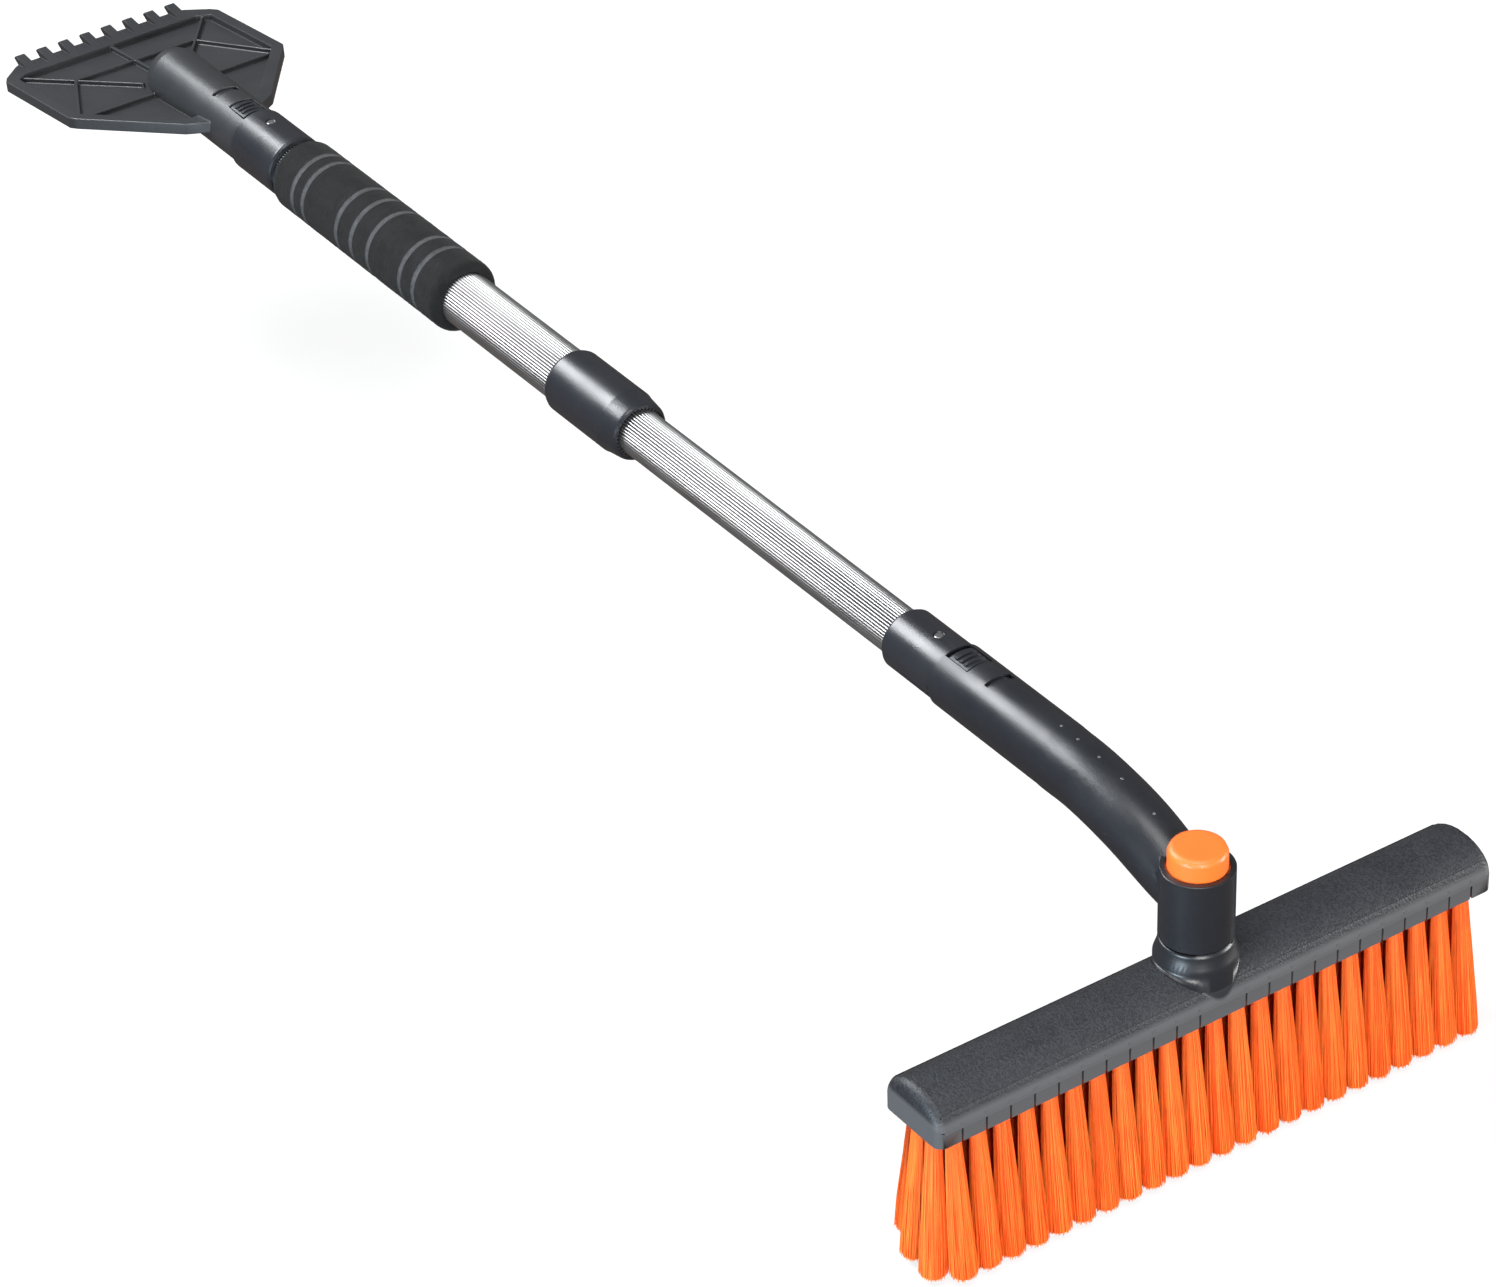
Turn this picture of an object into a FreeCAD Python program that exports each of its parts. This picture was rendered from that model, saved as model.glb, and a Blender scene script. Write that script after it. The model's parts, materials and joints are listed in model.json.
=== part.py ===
import FreeCAD, Part
import math
import os
import re

import Sketcher
from FreeCAD import Placement, Rotation, Vector

# Snow brush and ice scraper on a two-stage pole. Millimetres. Z is up and the
# tuft tips stand on Z = 0. The brush head turns about the Z axis, the pole runs
# from it towards -X, and the brush lies along Y.

document = FreeCAD.newDocument("SnowBrushScraper")
sheet = document.addObject("Spreadsheet::Sheet", "Sizes")

sizes = {
    # pole: distances along it are measured back from the head's pivot axis
    "poleHeight": 137.8,
    "innerRadius": 11.0,
    "outerRadius": 13.1,
    "tubeWall": 1.1,
    "innerRear": 470.0,
    "outerFront": 406.0,
    "fit": 0.06,
    # twist collar
    "collarFront": 395.0,
    "collarBreak": 407.0,
    "collarRear": 450.0,
    "collarRadius": 15.7,
    "collarNose": 14.2,
    "bushRear": 428.0,
    "notchCount": 36,
    # foam grip
    "gripFront": 538.0,
    "gripRear": 683.0,
    "gripRadius": 18.0,
    "stripeWidth": 2.4,
    "stripeDepth": 0.4,
    # snap couplings between a tube and the head it carries
    "neckFace": 160.0,
    "neckRadius": 15.0,
    "neckSleeve": 14.1,
    "headFace": 722.5,
    "socketRadius": 14.9,
    "scraperSleeve": 16.0,
    "sleeveLength": 35.2,
    "spigotLength": 36.0,
    "spigotRadius": 12.0,
    "spigotBore": 9.0,
    "tongueWidth": 12.0,
    "padEnd": 15.0,
    "windowStart": 27.4,
    "windowEnd": 31.4,
    "screwStation": 12.5,
    # pivot
    "seamHeight": 101.5,
    "rimHeight": 135.9,
    "housingRadius": 15.63,
    "housingBore": 13.7,
    "throatRadius": 13.2,
    "webHeight": 108.7,
    "webTop": 113.5,
    "bossRadius": 4.95,
    "buttonRadius": 12.4,
    "buttonTop": 145.5,
    "buttonTravel": 7.0,
    "legRadius": 8.6,
    "legThick": 2.0,
    "legWide": 5.6,
    "splineTeeth": 24,
    "splineRoot": 10.3,
    "splineTip": 11.4,
    "splineTooth": 1.5,
    "splineGap": 0.1,
    "gearHeight": 10.0,
    "cupFloor": 85.0,
    "springRadius": 7.4,
    "springWire": 0.55,
    "springTurns": 4.0,
    # brush
    "brushHalf": 142.0,
    "brushDepth": 18.4,
    "skirtHeight": 70.5,
    "shoulderHeight": 78.5,
    "ridgeHeight": 90.5,
    "shellWall": 2.4,
    "blockLow": 71.8,
    "blockHigh": 79.0,
    "tuftCount": 23,
    "tuftPitch": 11.84,
    "rowSpacing": 11.0,
    "tuftRoot": 2.2,
    "tuftTip": 5.8,
    "tuftHeight": 76.8,
    "tuftLean": 5.5,
    "endOuter": 5.4,
    "endInner": 3.4,
    "endAlong": 134.8,
    "outerLean": 5.72,
    "innerLean": 2.84,
    "slitWidth": 1.1,
    "slitHeight": 9.4,
    "postAcross": 4.1,
    "postAlong": 118.4,
    # scraper blade, in its own plane: forward from the point where that plane
    # crosses the pole axis
    "bladeStation": 783.9,
    "bladePitch": 7.4,
    "bladeFront": 97.5,
    "bladeHalf": 61.0,
    "bladeFrontHalf": 48.5,
    "bladeShoulder": 84.0,
    "bladeWaist": 17.0,
    "bladeRear": 33.0,
    "bladeRearHalf": 24.5,
    "bladeThick": 5.6,
    "webThick": 2.4,
    "ribThick": 1.8,
    "ribHeight": 4.6,
    "frontBand": 13.5,
    "sideBand": 6.0,
    "toothCount": 8,
    "toothPitch": 12.3,
    "toothWidth": 5.4,
    "toothRise": 3.4,
    "toothReach": 4.6,
    "socketTip": 812.0,
}

for row, (alias, size) in enumerate(sizes.items(), start=1):
    sheet.set("A%d" % row, alias)
    sheet.set("B%d" % row, str(size))
    sheet.setAlias("B%d" % row, alias)
document.recompute()


def bound(text):
    """Turn size names in an expression into references to the sheet."""
    pattern = r"\b(%s)\b" % "|".join(sizes)
    return re.sub(pattern, r"Sizes.\1", str(text))


def bind(item, values):
    for key, text in values.items():
        item.setExpression(key, bound(text))


def place(item, x=0, y=0, z=0):
    bind(item, {"Placement.Base.x": x, "Placement.Base.y": y, "Placement.Base.z": z})
    return item


def new_body(name):
    body = document.addObject("PartDesign::Body", name)
    body.Label = name
    return body


def new_sketch(body, role, offset=0):
    sketch = body.newObject("Sketcher::SketchObject", body.Name + "_sketch")
    plane = next(item for item in body.Origin.OriginFeatures if item.Role == role)
    sketch.AttachmentSupport = (plane, "")
    sketch.MapMode = "FlatFace"
    bind(sketch, {"AttachmentOffset.Base.z": offset})
    return sketch


def add_outline(sketch, points):
    """Add a closed polygon whose corners are bound to expressions."""
    first = sketch.GeometryCount
    count = len(points)
    ring = [
        Vector(math.cos(2 * math.pi * turn / count), math.sin(2 * math.pi * turn / count), 0)
        for turn in range(count)
    ]
    for corner in range(count):
        sketch.addGeometry(Part.LineSegment(ring[corner], ring[(corner + 1) % count]))
    for corner, point in enumerate(points):
        line = first + corner
        following = first + (corner + 1) % count
        sketch.addConstraint(Sketcher.Constraint("Coincident", line, 2, following, 1))
        starts = (ring[corner].x, ring[corner].y)
        for kind, start, text in zip(("DistanceX", "DistanceY"), starts, point):
            index = sketch.addConstraint(Sketcher.Constraint(kind, -1, 1, line, 1, start))
            bind(sketch, {"Constraints[%d]" % index: text})


def add_circle(sketch, x, y, radius):
    circle = sketch.addGeometry(Part.Circle(Vector(1, 1, 0), Vector(0, 0, 1), 1))
    for kind, text in (("DistanceX", x), ("DistanceY", y)):
        index = sketch.addConstraint(Sketcher.Constraint(kind, -1, 1, circle, 3, 1))
        bind(sketch, {"Constraints[%d]" % index: text})
    index = sketch.addConstraint(Sketcher.Constraint("Radius", circle, 1))
    bind(sketch, {"Constraints[%d]" % index: radius})


def box_outline(left, right, low, high):
    return [(left, low), (right, low), (right, high), (left, high)]


def turned(name, points, axis):
    """Revolve a half profile: along X about the pole, or (radius, Z) about the pivot."""
    body = new_body(name)
    sketch = new_sketch(body, "XZ_Plane")
    add_outline(sketch, points)
    feature = body.newObject("PartDesign::Revolution", name + "_turn")
    feature.Profile = sketch
    feature.ReferenceAxis = (sketch, [axis])
    feature.Angle = 360
    if axis == "H_Axis":
        place(body, z="poleHeight")
    return body


def extruded(body, kind, sketch, length, midplane=False, through=False):
    feature = body.newObject("PartDesign::" + kind, sketch.Name + "_" + kind.lower())
    feature.Profile = sketch
    bind(feature, {"Length": length})
    feature.Midplane = midplane
    if through:
        feature.Type = "ThroughAll"
    return feature


def patterned(body, feature, kind, reference, values):
    pattern = body.newObject("PartDesign::" + kind, feature.Name + "_pattern")
    pattern.Originals = [feature]
    if kind == "PolarPattern":
        pattern.Axis = reference
        pattern.Angle = 360
    else:
        pattern.Direction = reference
    bind(pattern, values)
    body.Tip = pattern
    return pattern


def primitive(kind, name, values, x=0, y=0, z=0, turn=None):
    item = document.addObject("Part::" + kind, name)
    bind(item, values)
    if turn:
        item.Placement = Placement(Vector(), Rotation(*turn))
    return place(item, x, y, z)


def cylinder(name, radius, height, x=0, y=0, z=0, turn=None):
    return primitive("Cylinder", name, {"Radius": radius, "Height": height}, x, y, z, turn)


def box(name, low, high):
    """A box between two corners given as expressions."""
    spans = ["(%s) - (%s)" % (top, bottom) for bottom, top in zip(low, high)]
    return primitive("Box", name, dict(zip(("Length", "Width", "Height"), spans)), *low)


def combined(kind, name, parts):
    item = document.addObject("Part::" + kind, name)
    item.Label = name
    if kind == "Cut":
        item.Base, item.Tool = parts
    elif kind == "Compound":
        item.Links = parts
    else:
        item.Shapes = parts
    return item


ALONG_X = (Vector(0, 1, 0), 90)
nodes = []


# Tubes


def tube(name, rear, front, radius):
    points = box_outline(rear, front, "%s - tubeWall" % radius, radius)
    return turned(name, points, "H_Axis")


def drilled(body, station, radius):
    """Drill a screw hole down through the top wall of a pole piece."""
    sketch = new_sketch(body, "XY_Plane")
    add_circle(sketch, station, 0, radius)
    feature = extruded(body, "Pocket", sketch, "gripRadius")
    feature.Reversed = True
    return body


outerTube = drilled(
    tube("outer_tube", "3.1 - headFace", "-outerFront", "outerRadius"),
    "screwStation - headFace",
    "1.55",
)
innerTube = drilled(
    tube("inner_tube", "-innerRear", "-neckFace - 3.1", "innerRadius"),
    "-screwStation - neckFace",
    "1.55",
)
nodes += [outerTube, innerTube]

nodes.append(
    turned(
        "inner_guide",
        [
            ("-innerRear - 3", "0"),
            ("-innerRear - 3", "outerRadius - tubeWall - fit"),
            ("-innerRear + 18", "outerRadius - tubeWall - fit"),
            ("-innerRear + 18", "innerRadius + 0.02"),
            ("-innerRear - 0.1", "innerRadius + 0.02"),
            ("-innerRear - 0.1", "innerRadius - tubeWall - 0.05"),
            ("-innerRear + 9", "innerRadius - tubeWall - 0.05"),
            ("-innerRear + 9", "0"),
        ],
        "H_Axis",
    )
)

# Twist collar and its bush

collarBush = turned(
    "collar_bush",
    [
        ("-bushRear", "innerRadius + fit"),
        ("-bushRear", "outerRadius - tubeWall - 0.02"),
        ("-outerFront + 0.1", "outerRadius - tubeWall - 0.02"),
        ("-outerFront + 0.1", "outerRadius"),
        ("-collarFront - 1.1", "outerRadius"),
        ("-collarFront - 1.1", "innerRadius + fit"),
    ],
    "H_Axis",
)
notchSketch = new_sketch(collarBush, "YZ_Plane", "-collarFront - 1.1")
add_outline(notchSketch, box_outline("-0.45", "0.45", "innerRadius - 0.5", "innerRadius + 1.1"))
notch = extruded(collarBush, "Pocket", notchSketch, "2.4")
patterned(
    collarBush, notch, "PolarPattern", (notchSketch, ["N_Axis"]), {"Occurrences": "notchCount"}
)
nodes.append(collarBush)
nodes.append(
    turned(
        "lock_collar",
        [
            ("-collarRear", "outerRadius + fit"),
            ("-collarRear", "outerRadius + 1.2"),
            ("-collarRear + 0.8", "collarRadius - 0.5"),
            ("-collarRear + 2.2", "collarRadius"),
            ("-collarBreak", "collarRadius"),
            ("-collarBreak + 1", "collarRadius - 0.35"),
            ("-collarFront - 1.5", "collarNose"),
            ("-collarFront", "collarNose - 0.7"),
            ("-collarFront", "outerRadius - 0.7"),
            ("-collarFront - 0.9", "outerRadius - 0.7"),
            ("-collarFront - 0.9", "outerRadius + fit"),
        ],
        "H_Axis",
    )
)

# Foam grip

stripeShares = (0.135, 0.198, 0.406, 0.497, 0.596, 0.79, 0.871)
gripOutline = [
    ("-gripRear", "outerRadius + 0.05"),
    ("-gripRear", "gripRadius - 2.8"),
    ("-gripRear + 3", "gripRadius - 1"),
    ("-gripRear + 8", "gripRadius"),
]
for share in stripeShares:
    middle = "(gripRear - gripFront) * %g - gripRear" % share
    rear = middle + " - stripeWidth / 2"
    front = middle + " + stripeWidth / 2"
    gripOutline.append((rear, "gripRadius"))
    gripOutline.append((rear, "gripRadius - stripeDepth"))
    gripOutline.append((front, "gripRadius - stripeDepth"))
    gripOutline.append((front, "gripRadius"))
gripOutline += [
    ("-gripFront - 6", "gripRadius"),
    ("-gripFront - 2", "gripRadius - 1.4"),
    ("-gripFront", "gripRadius - 3.6"),
    ("-gripFront", "outerRadius + 0.05"),
]
nodes.append(turned("foam_grip", gripOutline, "H_Axis"))

# Snap couplings


def stationed(face, way):
    """Give X for a distance measured from a coupling's face into its socket."""
    return lambda depth: "(%s) * %d - %s" % (depth, way, face)


def ferrule(name, face, way, radius, tubeRadius):
    along = stationed(face, way)
    sleeve = turned(
        name + "_turning",
        [
            (along("-sleeveLength"), tubeRadius + " + 0.03"),
            (along("-sleeveLength"), radius + " - 0.9"),
            (along("-sleeveLength + 1.6"), radius),
            (along("-0.15"), radius),
            (along("-0.15"), "spigotRadius"),
            (along("spigotLength - 1"), "spigotRadius"),
            (along("spigotLength"), "spigotRadius - 0.8"),
            (along("spigotLength"), "spigotBore"),
            (along("-3"), "spigotBore"),
            (along("-3"), tubeRadius + " + 0.03"),
        ],
        "H_Axis",
    )
    ends = [along("1.6"), along("spigotLength + 1")][::way]
    slot = box(
        name + "_slot",
        (ends[0], "-tongueWidth / 2 - 0.5", "poleHeight + 4.5"),
        (ends[1], "tongueWidth / 2 + 0.5", "poleHeight + socketRadius"),
    )
    station = along("-screwStation")
    recess = cylinder(name + "_recess", "2.5", "5", x=station, z="poleHeight + %s - 1.9" % radius)
    hole = cylinder(name + "_hole", "1.55", "scraperSleeve", x=station, z="poleHeight + 5")
    cuts = combined("MultiFuse", name + "_cuts", [slot, recess, hole])
    return combined("Cut", name, [sleeve, cuts])


def latch(name, face, way, radius):
    """A springy tongue in the spigot: a ribbed thumb pad and a barb at its end."""
    along = stationed(face, way)

    def slab(part, start, stop, wide, low, high):
        ends = [along(start), along(stop)][::way]
        return box(
            "%s_%s" % (name, part),
            (ends[0], "-(%s) / 2" % wide, "poleHeight + " + low),
            (ends[1], "(%s) / 2" % wide, "poleHeight + " + high),
        )

    def trimmed(part, slabs, limit):
        bar = cylinder(
            "%s_%s_limit" % (name, part),
            limit,
            "80",
            x="-%s - 40" % face,
            z="poleHeight",
            turn=ALONG_X,
        )
        shape = slabs[0]
        if len(slabs) > 1:
            shape = combined("MultiFuse", name + "_" + part + "s", slabs)
        return combined("MultiCommon", "%s_%s" % (name, part), [shape, bar])

    bar = slab("bar", "2", "34", "tongueWidth", "8.8", "14")
    strip = trimmed("strip", [bar], "spigotRadius - 0.35")
    button = slab("button", "3", "padEnd", "tongueWidth", "10", "18")
    pad = trimmed("pad", [button], radius + " - 0.5")
    ribs = [
        slab("rib%d" % number, "%g" % start, "%g" % (start + 1.3), "tongueWidth - 2", "10", "18")
        for number, start in enumerate((5.5, 8.5, 11.5))
    ]
    grips = trimmed("grips", ribs, radius + " + 0.25")
    hook = slab("hook", "windowStart + 0.3", "windowEnd - 0.3", "tongueWidth", "10", "18")
    barb = trimmed("barb", [hook], radius + " - 1.2")
    return combined("MultiFuse", name, [strip, pad, grips, barb])


def radial_screw(name, station, radius, depth):
    """A self-tapping screw pointing down through the top of the pole."""
    top = "poleHeight + %s - 0.5" % radius
    screw = turned(
        name,
        [
            ("0", top),
            ("1.7", top),
            ("2.3", top + " - 0.5"),
            ("2.3", top + " - 1.3"),
            ("1.5", top + " - 1.3"),
            ("1.5", top + " - %g" % depth),
            ("0.4", top + " - %g" % (depth + 1)),
            ("0", top + " - %g" % (depth + 1)),
        ],
        "V_Axis",
    )
    return place(screw, x=station)


def socket_cuts(name, face, way, radius):
    """Hollow of a socket, with the notch for the pad and the window for the barb."""
    along = stationed(face, way)

    def opening(part, start, stop):
        ends = [along(start), along(stop)][::way]
        return box(
            "%s_%s" % (name, part),
            (ends[0], "-tongueWidth / 2 - 0.6", "poleHeight + 8"),
            (ends[1], "tongueWidth / 2 + 0.6", "poleHeight + %s + 2" % radius),
        )

    ends = [along("-1"), along("spigotLength + 1.5")][::way]
    bore = cylinder(
        name + "_bore",
        "spigotRadius + fit",
        "spigotLength + 2.5",
        x=ends[0],
        z="poleHeight",
        turn=ALONG_X,
    )
    notch = opening("notch", "-1", "padEnd + 1")
    window = opening("window", "windowStart", "windowEnd")
    return [bore, notch, window]


nodes += [
    ferrule("scraper_ferrule", "headFace", -1, "scraperSleeve", "outerRadius"),
    latch("scraper_latch", "headFace", -1, "socketRadius"),
    radial_screw("scraper_ferrule_screw", "screwStation - headFace", "scraperSleeve", 5.6),
    ferrule("neck_ferrule", "neckFace", 1, "neckSleeve", "innerRadius"),
    latch("neck_latch", "neckFace", 1, "neckRadius"),
    radial_screw("neck_ferrule_screw", "-screwStation - neckFace", "neckSleeve", 5.3),
]

# Scraper head


def mirrored(points):
    """Close an outline that is given on its +Y side only."""
    return points + [(x, "-(%s)" % y) for x, y in reversed(points)]


bladeOutline = mirrored(
    [
        ("-bladeFront", "bladeFrontHalf - 3"),
        ("-bladeFront + 1.6", "bladeFrontHalf"),
        ("-bladeShoulder - 2.5", "bladeHalf - 2.4"),
        ("-bladeShoulder + 1.5", "bladeHalf"),
        ("-bladeWaist - 1", "bladeHalf"),
        ("-bladeWaist + 3", "bladeHalf - 2.2"),
        ("bladeRear", "bladeRearHalf"),
        ("bladeRear + 9", "12"),
    ]
)
panelOutline = mirrored(
    [
        ("-bladeFront + frontBand", "bladeFrontHalf"),
        ("-bladeFront + frontBand + 4", "bladeHalf - sideBand - 0.4"),
        ("-bladeWaist - 2", "bladeHalf - sideBand"),
        ("bladeRear - 5", "bladeRearHalf - 5.5"),
        ("bladeRear - 5", "10"),
    ]
)

blade = new_body("blade")
sketch = new_sketch(blade, "XY_Plane", "-bladeThick")
add_outline(sketch, bladeOutline)
extruded(blade, "Pad", sketch, "bladeThick")
sketch = new_sketch(blade, "XY_Plane")
add_outline(sketch, panelOutline)
extruded(blade, "Pocket", sketch, "bladeThick - webThick")
bevel = new_sketch(blade, "XZ_Plane")
add_outline(
    bevel,
    [
        ("-bladeFront - 1", "-bladeThick - 1"),
        ("-bladeFront + 11", "-bladeThick - 1"),
        ("-bladeFront + 11", "-bladeThick"),
        ("-bladeFront", "-1.4"),
        ("-bladeFront - 1", "-1.4"),
    ],
)
extruded(blade, "Pocket", bevel, "bladeHalf * 3", midplane=True)


def rib(name, start, stop, sideways):
    """A straight rib on the panel, drawn as a thin four-cornered outline."""
    half = "ribThick / 2"
    (x0, y0), (x1, y1) = start, stop
    if sideways:
        points = [
            ("%s - %s" % (x0, half), y0),
            ("%s + %s" % (x0, half), y0),
            ("%s + %s" % (x1, half), y1),
            ("%s - %s" % (x1, half), y1),
        ]
    else:
        points = [
            (x0, "%s - %s" % (y0, half)),
            (x0, "%s + %s" % (y0, half)),
            (x1, "%s + %s" % (y1, half)),
            (x1, "%s - %s" % (y1, half)),
        ]
    ribSketch = new_sketch(blade, "XY_Plane", "-bladeThick + 0.4")
    add_outline(ribSketch, points)
    extruded(blade, "Pad", ribSketch, "ribHeight - 0.4")


rib("middle", ("-bladeFront + 10", "0"), ("-34", "0"), False)
rib("cross", ("-60", "-34"), ("-60", "34"), True)
for side in ("", "-"):
    rib("corner", ("-84", side + "52.5"), ("-30", side + "12"), False)
    rib("brace", ("-60", side + "34"), ("-16", side + "56"), False)
    rib("rear", ("-15", side + "10"), ("-15", side + "56"), True)

toothSketch = new_sketch(blade, "XZ_Plane", "-toothPitch * (toothCount - 1) / 2")
add_outline(
    toothSketch,
    [
        ("-bladeFront + frontBand - 1.5", "-0.6"),
        ("-bladeFront + frontBand - 1.5", "0"),
        ("-bladeFront - toothReach + 1.8", "toothRise"),
        ("-bladeFront - toothReach", "toothRise - 1.2"),
        ("-bladeFront - 0.4", "-1.2"),
        ("-bladeFront + 3", "-1.2"),
    ],
)
tooth = extruded(blade, "Pad", toothSketch, "toothWidth", midplane=True)
patterned(
    blade,
    tooth,
    "LinearPattern",
    (bevel, ["N_Axis"]),
    {"Length": "toothPitch * (toothCount - 1)", "Occurrences": "toothCount"},
)
blade.Placement = Placement(Vector(), Rotation(Vector(0, -1, 0), 1))
bind(blade, {"Placement.Rotation.Angle": "bladePitch"})
place(blade, x="-bladeStation", z="poleHeight")

socket = turned(
    "socket_barrel",
    [
        ("-headFace", "0"),
        ("-headFace", "socketRadius"),
        ("-socketTip + 11", "socketRadius"),
        ("-socketTip + 5", "socketRadius - 1.6"),
        ("-socketTip + 1.4", "socketRadius - 5.6"),
        ("-socketTip", "socketRadius - 10"),
        ("-socketTip", "0"),
    ],
    "H_Axis",
)
headSolid = combined("MultiFuse", "head_solid", [blade, socket])
headCuts = combined("MultiFuse", "head_cuts", socket_cuts("head", "headFace", -1, "socketRadius"))
nodes.append(combined("Cut", "scraper_head", [headSolid, headCuts]))

# Lock spline


def spline(name, low, high, grow):
    """A toothed drum about the pivot axis, grown by a clearance for its sockets."""
    body = new_body(name)
    core = new_sketch(body, "XY_Plane", low)
    add_circle(core, 0, 0, "splineRoot + %s" % grow)
    height = "(%s) - (%s)" % (high, low)
    extruded(body, "Pad", core, height)
    toothSketch = new_sketch(body, "XY_Plane", low)
    half = "(splineTooth / 2 + %s)" % grow
    add_outline(
        toothSketch,
        [
            ("splineRoot - 1", "-" + half + " * 1.25"),
            ("splineTip + %s" % grow, "-" + half + " * 0.75"),
            ("splineTip + %s" % grow, half + " * 0.75"),
            ("splineRoot - 1", half + " * 1.25"),
        ],
    )
    tooth = extruded(body, "Pad", toothSketch, height)
    patterned(body, tooth, "PolarPattern", (core, ["N_Axis"]), {"Occurrences": "splineTeeth"})
    return body


def legs(name, low, high, grow):
    """Three push legs in a ring about the pivot axis."""
    body = new_body(name)
    sketch = new_sketch(body, "XY_Plane", low)
    across = "legThick / 2 + %s" % grow
    wide = "legWide / 2 + %s" % grow
    add_outline(
        sketch,
        box_outline("legRadius - (%s)" % across, "legRadius + %s" % across, "-(%s)" % wide, wide),
    )
    leg = extruded(body, "Pad", sketch, "(%s) - (%s)" % (high, low))
    patterned(body, leg, "PolarPattern", (sketch, ["N_Axis"]), {"Occurrences": "3"})
    return body


gearTop = "webHeight - 0.3"
gearLow = "webHeight - 0.3 - gearHeight"
gearBore = cylinder("gear_bore", "bossRadius + 0.2", "gearHeight + 2", z=gearLow + " - 1")
nodes.append(combined("Cut", "lock_gear", [spline("gear_drum", gearLow, gearTop, "0"), gearBore]))

# Neck


def section(name, x, z, high, wide):
    radii = {"MajorRadius": high, "MinorRadius": wide}
    return primitive("Ellipse", name, radii, x=x, z=z, turn=ALONG_X)


neckTube = cylinder(
    "neck_barrel", "neckRadius", "neckFace - 90", x="-neckFace", z="poleHeight", turn=ALONG_X
)
neckBend = document.addObject("Part::Loft", "neck_bend")
neckBend.Sections = [
    section("bend_start", "-90", "poleHeight", "neckRadius", "neckRadius"),
    section("bend_76", "-76", "poleHeight - 0.3", "neckRadius - 0.1", "neckRadius - 0.1"),
    section("bend_64", "-64", "poleHeight - 1.2", "neckRadius", "neckRadius - 0.2"),
    section("bend_52", "-52", "poleHeight - 2.9", "neckRadius + 0.1", "neckRadius - 0.2"),
    section("bend_40", "-40", "poleHeight - 5.3", "neckRadius + 0.2", "neckRadius - 0.2"),
    section("bend_28", "-28", "poleHeight - 8.7", "neckRadius + 0.4", "neckRadius - 0.4"),
    section("bend_16", "-16", "poleHeight - 12.6", "neckRadius - 0.1", "neckRadius - 0.7"),
    section("bend_6", "-6", "poleHeight - 15.6", "neckRadius - 0.9", "neckRadius - 1"),
]
neckBend.Solid = True
housing = turned(
    "housing",
    [
        ("0", "seamHeight + 0.3"),
        ("housingRadius - 0.9", "seamHeight + 0.3"),
        ("housingRadius", "seamHeight + 1.2"),
        ("housingRadius", "rimHeight - 0.5"),
        ("housingRadius - 0.5", "rimHeight"),
        ("0", "rimHeight"),
    ],
    "V_Axis",
)
wells = turned(
    "housing_wells",
    [
        ("0", "seamHeight - 1"),
        ("bossRadius + fit", "seamHeight - 1"),
        ("bossRadius + fit", "webTop"),
        ("housingBore", "webTop"),
        ("housingBore", "rimHeight - 1.8"),
        ("throatRadius", "rimHeight - 1.8"),
        ("throatRadius", "rimHeight + 6"),
        ("0", "rimHeight + 6"),
    ],
    "V_Axis",
)
overhang = cylinder("button_well", "throatRadius", "30", z="rimHeight - 1")
neckCore = cylinder(
    "neck_core", "neckRadius - 3.2", "60", x="-neckFace + 30", z="poleHeight", turn=ALONG_X
)
neckSolid = combined("MultiFuse", "neck_solid", [neckTube, neckBend, housing])
neckCuts = combined(
    "MultiFuse",
    "neck_cuts",
    socket_cuts("neck", "neckFace", 1, "neckRadius")
    + [
        wells,
        overhang,
        spline("neck_spline", "seamHeight - 1", "webHeight", "splineGap"),
        legs("leg_windows", "webHeight - 1", "webTop + 1", "0.3"),
        neckCore,
    ],
)
nodes.append(combined("Cut", "neck", [neckSolid, neckCuts]))

# Button, spring and pivot fasteners

buttonCap = turned(
    "button_cap",
    [
        ("0", "buttonTop"),
        ("buttonRadius - 3.2", "buttonTop"),
        ("buttonRadius - 0.9", "buttonTop - 0.9"),
        ("buttonRadius", "buttonTop - 3"),
        ("buttonRadius", "rimHeight - 2"),
        ("housingBore - fit", "rimHeight - 2"),
        ("housingBore - fit", "rimHeight - 4.6"),
        ("buttonRadius", "rimHeight - 4.6"),
        ("buttonRadius", "webTop + buttonTravel + 2"),
        ("buttonRadius - 2", "webTop + buttonTravel + 2"),
        ("buttonRadius - 2", "buttonTop - 3"),
        ("0", "buttonTop - 3"),
    ],
    "V_Axis",
)
buttonLegs = legs("button_legs", "webHeight - 0.25", "buttonTop - 2.5", "0")
nodes.append(combined("MultiFuse", "pivot_button", [buttonCap, buttonLegs]))

spring = new_body("button_spring")
sketch = new_sketch(spring, "XZ_Plane")
add_circle(sketch, "springRadius", "cupFloor + springWire + 0.05", "springWire")
coil = spring.newObject("PartDesign::AdditiveHelix", "button_spring_coil")
coil.Profile = sketch
coil.ReferenceAxis = (sketch, ["V_Axis"])
coil.Mode = "height-turns-angle"
springRoom = "(webHeight - 0.3 - gearHeight - cupFloor)"
bind(coil, {"Height": springRoom + " - 2 * springWire - 0.1", "Turns": "springTurns"})
nodes.append(spring)

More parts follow.
